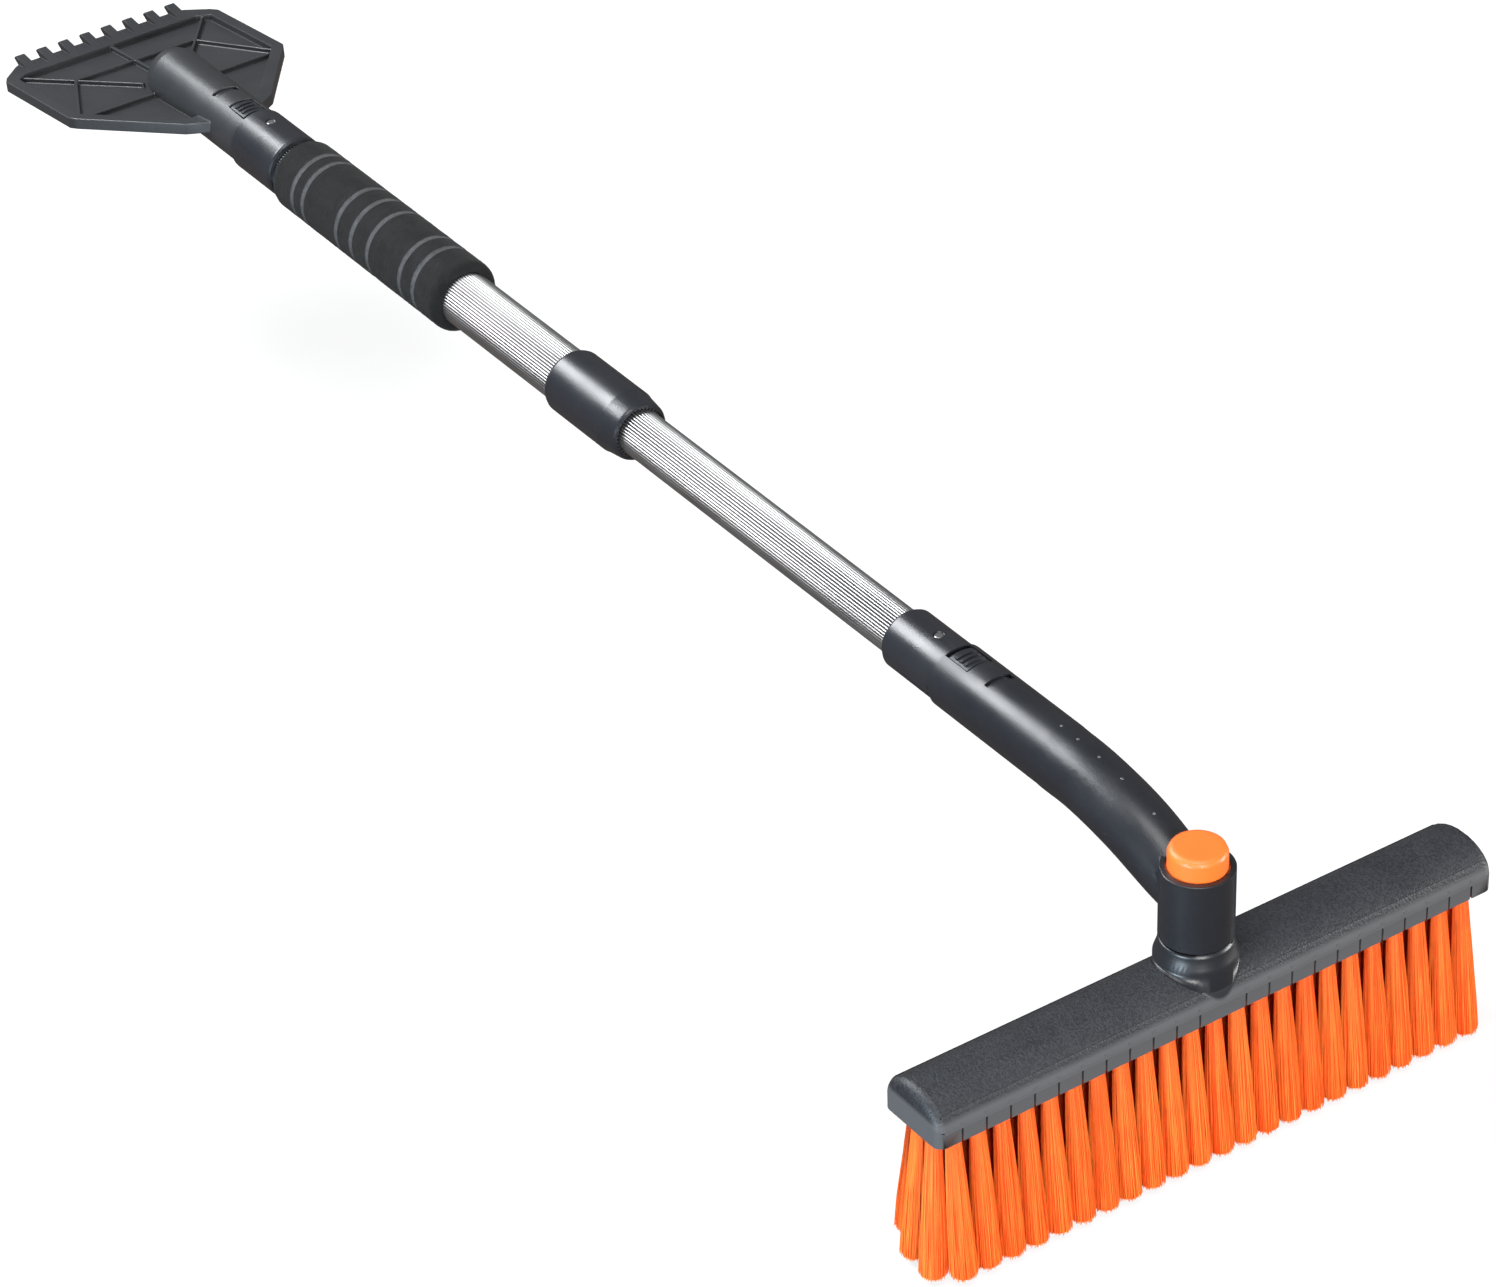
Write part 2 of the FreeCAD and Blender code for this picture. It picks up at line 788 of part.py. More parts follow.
nodes.append(
    turned(
        "pivot_washer",
        [
            ("1.7", "webTop + 0.15"),
            ("6.6", "webTop + 0.15"),
            ("6.6", "webTop + 1.25"),
            ("1.7", "webTop + 1.25"),
        ],
        "V_Axis",
    )
)
nodes.append(
    turned(
        "pivot_screw",
        [
            ("0", "webTop + 3.6"),
            ("2.6", "webTop + 3.6"),
            ("3.8", "webTop + 2.4"),
            ("3.8", "webTop + 1.25"),
            ("1.6", "webTop + 1.25"),
            ("1.6", "webTop - 18"),
            ("0.5", "webTop - 19.5"),
            ("0", "webTop - 19.5"),
        ],
        "V_Axis",
    )
)

# Brush head

def arch(foot, half, rise):
    """Half of an arched section as (Z, X) pairs: a straight foot, then a quarter ellipse."""
    points = [(foot, half)]
    for turn in (0, 14, 28, 42, 56, 68, 80):
        height = "shoulderHeight + (%s) * sin(%d deg)" % (rise, turn)
        points.append((height, "(%s) * cos(%d deg)" % (half, turn)))
    return points


def section_sketch(body, points):
    sketch = new_sketch(body, "XZ_Plane")
    add_outline(sketch, [(x, z) for z, x in mirrored(points)])
    return sketch


archRise = "ridgeHeight - shoulderHeight"
outside = arch("skirtHeight", "brushDepth", archRise)
inside = arch("skirtHeight - 1", "brushDepth - shellWall", archRise + " - shellWall")
shell = new_body("shell")
outsideSketch = section_sketch(shell, outside)
extruded(shell, "Pad", outsideSketch, "brushHalf * 2", midplane=True)
insideSketch = section_sketch(shell, inside)
extruded(shell, "Pocket", insideSketch, "(brushHalf - shellWall) * 2", midplane=True)
slitRun = "tuftPitch * (tuftCount - 3) / 2"
for firstSlit in ("-tuftPitch - " + slitRun, "tuftPitch"):
    slitSketch = new_sketch(shell, "YZ_Plane")
    sides = [firstSlit + " - slitWidth / 2", firstSlit + " + slitWidth / 2"]
    add_outline(slitSketch, box_outline(*sides, "skirtHeight - 1", "skirtHeight + slitHeight"))
    slit = extruded(shell, "Pocket", slitSketch, "brushDepth * 3", midplane=True)
    axis = (slitSketch, ["H_Axis"])
    values = {"Length": slitRun, "Occurrences": "(tuftCount - 1) / 2"}
    patterned(shell, slit, "LinearPattern", axis, values)

cup = turned(
    "cup",
    [
        ("0", "cupFloor - 2.6"),
        ("housingRadius", "cupFloor - 2.6"),
        ("housingRadius + 1.9", "cupFloor - 0.8"),
        ("housingRadius + 1.9", "seamHeight - 8.5"),
        ("housingRadius + 1.2", "seamHeight - 6.3"),
        ("housingRadius + 0.4", "seamHeight - 4"),
        ("housingRadius", "seamHeight - 1.8"),
        ("housingRadius", "seamHeight - 0.9"),
        ("housingRadius - 0.9", "seamHeight"),
        ("0", "seamHeight"),
    ],
    "V_Axis",
)
boss = turned(
    "boss",
    [
        ("1.62", "cupFloor - 1"),
        ("bossRadius", "cupFloor - 1"),
        ("bossRadius", "webTop + 0.13"),
        ("1.62", "webTop + 0.13"),
    ],
    "V_Axis",
)
corners = [(across, along) for across in (-1, 1) for along in (-1, 1)]
posts = [
    cylinder(
        "post_%s_%s" % (across, along),
        "3.4",
        "ridgeHeight - blockHigh - 1.8",
        x="%s * postAcross" % across,
        y="%s * postAlong" % along,
        z="blockHigh + 0.1",
    )
    for across, along in corners
]
pilots = [
    cylinder(
        "pilot_%s_%s" % (across, along),
        "1.52",
        "9",
        x="%s * postAcross" % across,
        y="%s * postAlong" % along,
        z="blockHigh - 1",
    )
    for across, along in corners
]
coverSolid = combined("MultiFuse", "cover_solid", [shell, cup] + posts)
hubSpline = spline("hub_spline", "cupFloor", "seamHeight + 1", "splineGap")
coverCuts = combined("MultiFuse", "cover_cuts", [hubSpline] + pilots)
coverShell = combined("Cut", "cover_shell", [coverSolid, coverCuts])
nodes.append(combined("MultiFuse", "brush_cover", [coverShell, boss]))

block = new_body("tuft_block")
sketch = new_sketch(block, "XY_Plane", "blockLow")
sideGap = "(brushDepth - shellWall - 0.2)"
endGap = "(brushHalf - shellWall - 0.2)"
add_outline(sketch, box_outline("-" + sideGap, sideGap, "-" + endGap, endGap))
extruded(block, "Pad", sketch, "blockHigh - blockLow")


def tuft_holes(stations):
    holeSketch = new_sketch(block, "XY_Plane", "blockLow")
    for x, y in stations:
        add_circle(holeSketch, x, y, "tuftRoot + 1.1")
    holes = extruded(block, "Pocket", holeSketch, "tuftHeight + 0.8 - blockLow")
    holes.Reversed = True
    return holeSketch, holes


rows = {
    "tufts_back": (-1, "tuftCount"),
    "tufts_middle": (0, "(tuftCount - 1)"),
    "tufts_front": (1, "tuftCount"),
}
for side, count in rows.values():
    span = "tuftPitch * (%s - 1)" % count
    stations = [("%d * rowSpacing" % side, "-%s / 2" % span)]
    rowSketch, rowHoles = tuft_holes(stations)
    axis = (rowSketch, ["V_Axis"])
    patterned(block, rowHoles, "LinearPattern", axis, {"Length": span, "Occurrences": count})
# two more tufts stand at each end, one nearer the corner, and the ends are alike
# when the brush is turned round: root across, root along, lean and heading
endTufts = {}
for end in (-1, 1):
    outerRoot = ("%d * endOuter" % -end, "%d * endAlong" % end)
    innerRoot = ("%d * endInner" % end, "%d * endAlong" % end)
    endTufts["outer_%d" % end] = outerRoot + ("outerLean", Vector(-end * 0.757, end * 0.653, 0))
    endTufts["inner_%d" % end] = innerRoot + ("innerLean", Vector(0, end, 0))
tuft_holes([(x, y) for x, y, lean, heading in endTufts.values()])
screwSketch = new_sketch(block, "XY_Plane", "blockLow")
for across in ("-postAcross", "postAcross"):
    for along in ("-postAlong", "postAlong"):
        add_circle(screwSketch, across, along, "1.65")
screwHoles = extruded(block, "Pocket", screwSketch, "20")
screwHoles.Reversed = True
nodes.append(block)

blockScrews = []
for across, along in corners:
    corner = "%s_%s" % (across, along)
    x = "%s * postAcross" % across
    y = "%s * postAlong" % along
    head = cylinder("screw_head_" + corner, "2.7", "1.6", x=x, y=y, z="blockLow - 1.65")
    shank = cylinder("screw_shank_" + corner, "1.5", "14.5", x=x, y=y, z="blockLow - 0.5")
    blockScrews.append(combined("MultiFuse", "block_screw_" + corner, [head, shank]))
nodes.append(combined("Compound", "block_screws", blockScrews))


def tuft(name, x, y, lean, heading):
    """A tuft rooted at (x, y) whose tip leans out by an angle towards a heading."""
    axis = Vector(heading.y, -heading.x, 0)
    cone = primitive(
        "Cone",
        name,
        {"Radius1": "tuftTip", "Radius2": "tuftRoot", "Height": "tuftHeight"},
        turn=(axis, 1),
    )
    bind(cone, {"Placement.Rotation.Angle": lean})
    reach = "tuftHeight * sin(%s * 1 deg)" % lean
    return place(
        cone,
        x="%s + %s * %g" % (x, reach, heading.x),
        y="%s + %s * %g" % (y, reach, heading.y),
        z="tuftTip * sin(%s * 1 deg)" % lean,
    )


for name, (side, count) in rows.items():
    tufts = [
        tuft(
            "%s_%d" % (name, number),
            "%d * rowSpacing" % side,
            "tuftPitch * (%d - (%s - 1) / 2)" % (number, count),
            "tuftLean * %d" % abs(side),
            Vector(side or 1, 0, 0),
        )
        for number in range(int(sizes["tuftCount"]) - (side == 0))
    ]
    nodes.append(combined("Compound", name, tufts))
ends = [tuft("tuft_end_" + name, *values) for name, values in endTufts.items()]
nodes.append(combined("Compound", "tufts_ends", ends))

# Check and write

document.recompute()
for item in document.Objects:
    broken = {"Invalid", "Error"} & set(item.State)
    if broken:
        raise ValueError("%s is %s" % (item.Name, ", ".join(broken)))

os.makedirs("parts", exist_ok=True)
for node in nodes:
    shape = node.Shape
    if shape.isNull() or not shape.isValid():
        raise ValueError("%s has no valid shape" % node.Label)
    shape.exportStep("parts/%s.step" % node.Label)
    print("%-24s %2d solids %10.1f mm3" % (node.Label, len(shape.Solids), shape.Volume))
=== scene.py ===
import json
import math
import random

import bpy
import numpy as np
from mathutils import Matrix, Vector

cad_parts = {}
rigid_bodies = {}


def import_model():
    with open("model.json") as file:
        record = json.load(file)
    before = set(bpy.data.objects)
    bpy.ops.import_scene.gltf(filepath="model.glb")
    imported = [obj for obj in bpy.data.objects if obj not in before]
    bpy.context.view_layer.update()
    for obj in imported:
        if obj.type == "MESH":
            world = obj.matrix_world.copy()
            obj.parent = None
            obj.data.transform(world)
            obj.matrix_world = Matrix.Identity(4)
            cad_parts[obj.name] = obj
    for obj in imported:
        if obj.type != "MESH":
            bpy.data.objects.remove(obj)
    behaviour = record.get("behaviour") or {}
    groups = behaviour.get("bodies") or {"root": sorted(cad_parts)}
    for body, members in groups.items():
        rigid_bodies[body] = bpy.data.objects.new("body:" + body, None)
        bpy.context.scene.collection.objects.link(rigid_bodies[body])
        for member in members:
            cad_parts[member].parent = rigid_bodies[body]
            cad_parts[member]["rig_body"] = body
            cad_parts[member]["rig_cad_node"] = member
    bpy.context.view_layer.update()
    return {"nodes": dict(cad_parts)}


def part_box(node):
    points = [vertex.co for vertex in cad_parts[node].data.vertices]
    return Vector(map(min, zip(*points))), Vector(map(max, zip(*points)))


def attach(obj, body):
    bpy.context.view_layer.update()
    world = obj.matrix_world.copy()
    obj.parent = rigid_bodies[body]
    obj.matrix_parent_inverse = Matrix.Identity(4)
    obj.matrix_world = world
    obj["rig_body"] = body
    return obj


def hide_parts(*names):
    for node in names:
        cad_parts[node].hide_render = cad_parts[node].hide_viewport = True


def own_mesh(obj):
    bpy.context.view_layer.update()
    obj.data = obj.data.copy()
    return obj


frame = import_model()
print("frame loaded with", len(frame["nodes"]), "nodes")


def clearSelection():
    if bpy.context.object and bpy.context.object.mode != "OBJECT":
        bpy.ops.object.mode_set(mode="OBJECT")
    bpy.ops.object.select_all(action="DESELECT")


def activate(piece):
    clearSelection()
    piece.select_set(True)
    bpy.context.view_layer.objects.active = piece


def applyPlace(piece):
    activate(piece)
    bpy.ops.object.transform_apply(location=True, rotation=True, scale=True)


def fixNormals(piece, merge=0.00001):
    activate(piece)
    bpy.ops.object.mode_set(mode="EDIT")
    bpy.ops.mesh.select_all(action="SELECT")
    bpy.ops.mesh.remove_doubles(threshold=merge)
    bpy.ops.mesh.normals_make_consistent(inside=False)
    bpy.ops.object.mode_set(mode="OBJECT")


def applyModifier(piece, kind, **settings):
    modifier = piece.modifiers.new(kind.title(), kind)
    for key, value in settings.items():
        setattr(modifier, key, value)
    activate(piece)
    bpy.ops.object.modifier_apply(modifier=modifier.name)


def smoothShade(piece, degrees=38):
    activate(piece)
    bpy.ops.object.shade_smooth_by_angle(angle=math.radians(degrees))


def softEdges(piece, width, segments=3, degrees=32):
    applyModifier(
        piece, "BEVEL", width=width, segments=segments, limit_method="ANGLE",
        angle_limit=math.radians(degrees), use_clamp_overlap=False, miter_outer="MITER_ARC",
    )


def newPiece(name, vertices, edges=(), faces=()):
    mesh = bpy.data.meshes.new(name)
    mesh.from_pydata(vertices, edges, faces)
    piece = bpy.data.objects.new(name, mesh)
    bpy.context.scene.collection.objects.link(piece)
    return piece


def refinedNode(node, name):
    # a CAD node copied into a mesh of its own, with its facets joined
    piece = frame["nodes"][node].copy()
    piece.data = piece.data.copy()
    piece.name = name
    piece.parent = None
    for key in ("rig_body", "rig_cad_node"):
        del piece[key]
    bpy.context.scene.collection.objects.link(piece)
    activate(piece)
    bpy.ops.object.mode_set(mode="EDIT")
    bpy.ops.mesh.select_all(action="SELECT")
    bpy.ops.mesh.remove_doubles(threshold=0.000004)
    bpy.ops.mesh.dissolve_limited(angle_limit=math.radians(1))
    bpy.ops.object.mode_set(mode="OBJECT")
    return piece


def fitPiece(piece, material, body, replaced=()):
    # its material, its body and the nodes that it stands for
    piece.data.materials.clear()
    piece.data.materials.append(material)
    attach(piece, body)
    if replaced:
        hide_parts(*replaced)
    return piece


def newGroup(name, inputs, outputs):
    group = bpy.data.node_groups.new(name, "ShaderNodeTree")
    for label, kind, value in inputs:
        socket = group.interface.new_socket(name=label, in_out="INPUT", socket_type=kind)
        if value is not None:
            socket.default_value = value
    for label, kind in outputs:
        group.interface.new_socket(name=label, in_out="OUTPUT", socket_type=kind)
    return group, group.nodes.new("NodeGroupInput"), group.nodes.new("NodeGroupOutput")


def addNode(tree, kind, settings=None, **inputs):
    node = tree.nodes.new(kind)
    for key, value in (settings or {}).items():
        setattr(node, key, value)
    for key, value in inputs.items():
        node.inputs[key.replace("_", " ")].default_value = value
    return node


def join(tree, source, output, target, socket):
    tree.links.new(source.outputs[output], target.inputs[socket])


def feed(tree, item, socket):
    # item is a number, a plain colour or a (node, output) pair
    if isinstance(item, tuple) and isinstance(item[0], bpy.types.Node):
        tree.links.new(item[0].outputs[item[1]], socket)
    else:
        socket.default_value = (*item, 1.0) if isinstance(item, tuple) else item


def maths(tree, operation, first, second):
    node = addNode(tree, "ShaderNodeMath", {"operation": operation})
    feed(tree, first, node.inputs[0])
    feed(tree, second, node.inputs[1])
    return node


def spread(tree, source, output, low, high, toLow, toHigh):
    node = addNode(
        tree, "ShaderNodeMapRange", From_Min=low, From_Max=high, To_Min=toLow, To_Max=toHigh,
    )
    join(tree, source, output, node, "Value")
    return node


def grainGroup():
    # pebbled grain of a textured mould: small cells under a slower unevenness
    group, start, end = newGroup(
        "mouldGrain",
        [("Vector", "NodeSocketVector", None), ("Cells", "NodeSocketFloat", 1500.0)],
        [("Height", "NodeSocketFloat")],
    )
    cells = addNode(group, "ShaderNodeTexVoronoi", {"feature": "SMOOTH_F1"}, Smoothness=0.6)
    slow = addNode(group, "ShaderNodeTexNoise", Detail=3.0, Roughness=0.6)
    join(group, start, "Vector", cells, "Vector")
    join(group, start, "Vector", slow, "Vector")
    join(group, start, "Cells", cells, "Scale")
    slowScale = maths(group, "MULTIPLY", (start, "Cells"), 0.45)
    join(group, slowScale, "Value", slow, "Scale")
    total = maths(group, "ADD", (cells, "Distance"), (slow, "Fac"))
    join(group, total, "Value", end, "Height")
    return group


def driftGroup():
    # slow change of tone over a surface
    group, start, end = newGroup(
        "toneDrift",
        [
            ("Vector", "NodeSocketVector", None),
            ("Color", "NodeSocketColor", (0.5, 0.5, 0.5, 1.0)),
            ("Amount", "NodeSocketFloat", 0.1),
            ("Scale", "NodeSocketFloat", 60.0),
        ],
        [("Color", "NodeSocketColor"), ("Drift", "NodeSocketFloat")],
    )
    noise = addNode(group, "ShaderNodeTexNoise", Detail=5.0, Roughness=0.62)
    join(group, start, "Vector", noise, "Vector")
    join(group, start, "Scale", noise, "Scale")
    centred = spread(group, noise, "Fac", 0.3, 0.7, -1.0, 1.0)
    swing = maths(group, "MULTIPLY", (centred, "Result"), (start, "Amount"))
    gain = maths(group, "ADD", (swing, "Value"), 1.0)
    scaled = addNode(group, "ShaderNodeVectorMath", {"operation": "SCALE"})
    join(group, start, "Color", scaled, 0)
    join(group, gain, "Value", scaled, "Scale")
    join(group, scaled, "Vector", end, "Color")
    join(group, centred, "Result", end, "Drift")
    return group


def wearGroup():
    # rubbed outer edges, broken up so that the rubbing is uneven
    group, start, end = newGroup(
        "edgeWear",
        [
            ("Vector", "NodeSocketVector", None),
            ("Amount", "NodeSocketFloat", 0.5),
            ("Scale", "NodeSocketFloat", 260.0),
        ],
        [("Mask", "NodeSocketFloat")],
    )
    shape = group.nodes.new("ShaderNodeNewGeometry")
    edges = spread(group, shape, "Pointiness", 0.57, 0.66, 0.0, 1.0)
    noise = addNode(group, "ShaderNodeTexNoise", Detail=6.0, Roughness=0.7)
    join(group, start, "Vector", noise, "Vector")
    join(group, start, "Scale", noise, "Scale")
    patches = spread(group, noise, "Fac", 0.38, 0.66, 0.0, 1.0)
    rubbed = maths(group, "MULTIPLY", (edges, "Result"), (patches, "Result"))
    mask = maths(group, "MULTIPLY", (rubbed, "Value"), (start, "Amount"))
    join(group, mask, "Value", end, "Mask")
    return group


def scuffGroup():
    # short fine scratches in two directions
    group, start, end = newGroup(
        "fineScuffs",
        [
            ("Vector", "NodeSocketVector", None),
            ("Scale", "NodeSocketFloat", 90.0),
            ("Cover", "NodeSocketFloat", 0.5),
        ],
        [("Mask", "NodeSocketFloat")],
    )
    marks = []
    for turn, stretch in ((0.6, (1.0, 14.0, 3.0)), (-0.9, (12.0, 1.0, 4.0))):
        mapping = addNode(
            group, "ShaderNodeMapping", Rotation=(0.0, turn * 0.4, turn), Scale=stretch,
        )
        noise = addNode(group, "ShaderNodeTexNoise", Detail=4.0, Roughness=0.75, Distortion=0.3)
        join(group, start, "Vector", mapping, "Vector")
        join(group, mapping, "Vector", noise, "Vector")
        join(group, start, "Scale", noise, "Scale")
        marks.append(spread(group, noise, "Fac", 0.63, 0.7, 0.0, 1.0))
    both = maths(group, "MAXIMUM", (marks[0], "Result"), (marks[1], "Result"))
    mask = maths(group, "MULTIPLY", (both, "Value"), (start, "Cover"))
    join(group, mask, "Value", end, "Mask")
    return group


mouldGrain = grainGroup()
toneDrift = driftGroup()
edgeWear = wearGroup()
fineScuffs = scuffGroup()


def newMaterial(name, **values):
    material = bpy.data.materials.new(name)
    material.use_nodes = True
    tree = material.node_tree
    tree.nodes.clear()
    shader = addNode(tree, "ShaderNodeBsdfPrincipled", **values)
    output = tree.nodes.new("ShaderNodeOutputMaterial")
    join(tree, shader, "BSDF", output, "Surface")
    place = tree.nodes.new("ShaderNodeTexCoord")
    return material, tree, shader, place


def useGroup(tree, group, place, **values):
    node = tree.nodes.new("ShaderNodeGroup")
    node.node_tree = group
    tree.links.new(place.outputs["Object"], node.inputs["Vector"])
    for key, value in values.items():
        node.inputs[key].default_value = value
    return node


def mixColour(tree, factor, first, second):
    # gives back the pair that carries the mixed colour
    node = addNode(tree, "ShaderNodeMix", {"data_type": "RGBA"})
    feed(tree, factor, node.inputs["Factor"])
    feed(tree, first, node.inputs[6])
    feed(tree, second, node.inputs[7])
    return node, 2


def scaled(tree, colour, factor):
    node = addNode(tree, "ShaderNodeVectorMath", {"operation": "SCALE"})
    feed(tree, colour, node.inputs[0])
    feed(tree, factor, node.inputs["Scale"])
    return node, "Vector"


def bumped(tree, shader, height, strength, distance):
    bump = addNode(tree, "ShaderNodeBump", Strength=strength, Distance=distance)
    feed(tree, height, bump.inputs["Height"])
    join(tree, bump, "Normal", shader, "Normal")


# the cover's grain zones and roughness, and the paler skirt colour that paints a highlight
coverFinishAndSkirtLight = {
    "skirtPaintedLight": (0.086, 0.088, 0.093), "grainAbove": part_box("tuft_block")[1].z + 0.0030,
    "fade": 0.0012, "hubRadius": 0.0177, "hubFade": 0.0006, "leftGrain": 0.04,
    "fleckHeights": (0.75, 1.15), "fleckGains": (0.6, 1.7), "dulled": 0.16,
}


def coverSkirt(tree, place, grain, colour, finishAndSkirtLight):
    # the grain stops at the smoother skirt and round the hub; the skirt's paler colour is a
    # painted highlight for the light on its upright face
    line, fade = finishAndSkirtLight["grainAbove"], finishAndSkirtLight["fade"]
    rim, rimEnd = finishAndSkirtLight["hubRadius"], finishAndSkirtLight["hubRadius"] + finishAndSkirtLight["hubFade"]
    axes = tree.nodes.new("ShaderNodeSeparateXYZ")
    join(tree, place, "Object", axes, "Vector")
    above = spread(tree, axes, "Z", line - fade, line + fade, finishAndSkirtLight["leftGrain"], 1.0)
    flat = addNode(tree, "ShaderNodeVectorMath", {"operation": "MULTIPLY"})
    flat.inputs[1].default_value = (1.0, 1.0, 0.0)
    reach = addNode(tree, "ShaderNodeVectorMath", {"operation": "LENGTH"})
    join(tree, place, "Object", flat, 0)
    join(tree, flat, "Vector", reach, 0)
    outside = spread(tree, reach, "Value", rim, rimEnd, finishAndSkirtLight["leftGrain"], 1.0)
    hub = spread(tree, reach, "Value", rim, rimEnd, 1.0, 0.0)
    skirtLightOff = maths(tree, "MAXIMUM", (above, "Result"), (hub, "Result"))
    textured = maths(tree, "MULTIPLY", (above, "Result"), (outside, "Result"))
    fleck = spread(tree, grain, "Height", *finishAndSkirtLight["fleckHeights"], *finishAndSkirtLight["fleckGains"])
    flecked = scaled(tree, colour, (fleck, "Result"))
    plain = mixColour(tree, (hub, "Result"), flecked, colour)
    # painted highlight: the skirt's colour is made paler in place of the light falling on it
    withSkirtLight = mixColour(tree, (skirtLightOff, "Value"), finishAndSkirtLight["skirtPaintedLight"], plain)
    return withSkirtLight, (textured, "Value")


def mouldedPlastic(name, tone, worn, rough, cells, relief, wear=0.35, drift=0.06, finishAndSkirtLight=None):
    # satin moulded plastic: grain, slow tone, rubbed edges and light scratches
    material, tree, shader, place = newMaterial(name, IOR=1.5)
    shader.inputs["Specular IOR Level"].default_value = 0.55
    base = useGroup(tree, toneDrift, place, Color=(*tone, 1.0), Amount=drift, Scale=38.0)
    rubbed = useGroup(tree, edgeWear, place, Amount=wear)
    scratched = useGroup(tree, fineScuffs, place, Scale=110.0, Cover=0.10)
    marked = maths(tree, "MAXIMUM", (rubbed, "Mask"), (scratched, "Mask"))
    colour = mixColour(tree, (marked, "Value"), (base, "Color"), worn)
    swing = maths(tree, "MULTIPLY", (base, "Drift"), 0.05)
    rougher = maths(tree, "ADD", (swing, "Value"), rough)
    scratchedRough = maths(tree, "MULTIPLY", (scratched, "Mask"), 0.18)
    total = maths(tree, "ADD", (rougher, "Value"), (scratchedRough, "Value"))
    grain = useGroup(tree, mouldGrain, place, Cells=cells)
    height = (grain, "Height")
    roughness = (total, "Value")
    if finishAndSkirtLight:
        # the cover gets its grain zones and a painted highlight on its skirt
        colour, textured = coverSkirt(tree, place, grain, colour, finishAndSkirtLight)
        height = (maths(tree, "MULTIPLY", height, textured), "Value")
        extra = maths(tree, "MULTIPLY", textured, finishAndSkirtLight["dulled"])
        roughness = (maths(tree, "ADD", roughness, (extra, "Value")), "Value")
    feed(tree, colour, shader.inputs["Base Color"])
    feed(tree, roughness, shader.inputs["Roughness"])
    bumped(tree, shader, height, 1.0, relief)
    return material


slate = {"tone": (0.0120, 0.0135, 0.0170), "worn": (0.09, 0.095, 0.102)}

neckPlastic = mouldedPlastic(
    "neckPlastic", slate["tone"], slate["worn"], 0.36, 1900.0, 0.00002
)
pipPlastic = mouldedPlastic(
    "pipPlastic", (0.085, 0.088, 0.094), slate["worn"], 0.3, 1900.0, 0.00001
)
scraperPlastic = mouldedPlastic(
    "scraperPlastic", (0.024, 0.0255, 0.028), slate["worn"], 0.38, 1700.0, 0.00003
)
collarPlastic = mouldedPlastic(
    "collarPlastic", (0.0160, 0.0175, 0.0215), slate["worn"], 0.30, 2100.0, 0.00002
)
coverPlastic = mouldedPlastic(
    "coverPlastic", slate["tone"], slate["worn"], 0.36, 1100.0, 0.00014, finishAndSkirtLight=coverFinishAndSkirtLight
)
blockPlastic = mouldedPlastic(
    "blockPlastic", (0.03, 0.031, 0.034), (0.1, 0.1, 0.1), 0.55, 1500.0, 0.00003
)
acetal = mouldedPlastic(
    "acetal", (0.70, 0.69, 0.64), (0.8, 0.79, 0.75), 0.34, 2300.0, 0.00001, wear=0.2
)
buttonPlastic = mouldedPlastic(
    "buttonPlastic", (0.93, 0.165, 0.022), (0.98, 0.36, 0.13), 0.43, 2600.0, 0.00001, drift=0.05
)


def drawnMetal(name, tone, rough, streaks, relief, grooveShade=None):
    # metal with fine lines drawn along X; painted shade makes it darker in its grooves
    material, tree, shader, place = newMaterial(name, Metallic=1.0)
    base = useGroup(tree, toneDrift, place, Color=(*tone, 1.0), Amount=0.06, Scale=45.0)
    mapping = addNode(tree, "ShaderNodeMapping", Scale=streaks)
    lines = addNode(tree, "ShaderNodeTexNoise", Scale=1400.0, Detail=5.0, Roughness=0.7)
    join(tree, place, "Object", mapping, "Vector")
    join(tree, mapping, "Vector", lines, "Vector")
    scratched = useGroup(tree, fineScuffs, place, Scale=60.0, Cover=0.5)
    scratchTone = tuple(value * 0.72 for value in tone)
    colour = mixColour(tree, (scratched, "Mask"), (base, "Color"), scratchTone)
    if grooveShade:
        # painted shade: the colour darkens towards the bottom of each flute
        depth = addNode(tree, "ShaderNodeAttribute", {"attribute_name": "grooveShade"})
        colour = mixColour(tree, (depth, "Fac"), colour, grooveShade)
    feed(tree, colour, shader.inputs["Base Color"])
    uneven = spread(tree, lines, "Fac", 0.3, 0.7, rough - 0.07, rough + 0.09)
    dulled = maths(tree, "MULTIPLY", (scratched, "Mask"), 0.15)
    total = maths(tree, "ADD", (uneven, "Result"), (dulled, "Value"))
    join(tree, total, "Value", shader, "Roughness")
    bumped(tree, shader, (lines, "Fac"), 0.6, relief)
    return material


# the flute bottoms of the tubes get painted shade
tubeMetal = drawnMetal(
    "tubeMetal", (0.46, 0.46, 0.462), 0.37, (0.02, 1.0, 1.0), 0.00002,
    grooveShade=(0.10, 0.092, 0.088),
)
screwMetal = drawnMetal("screwMetal", (0.50, 0.50, 0.50), 0.33, (1.0, 1.0, 0.1), 0.00001)
springMetal = drawnMetal("springMetal", (0.42, 0.42, 0.43), 0.28, (1.0, 1.0, 1.0), 0.00001)


foamLook = {
    "dark": (0.0095, 0.0097, 0.0102, 1.0), "bands": (0.070, 0.071, 0.074, 1.0),
    "pores": 1150.0, "crumb": 2600.0, "relief": 0.00022,
}


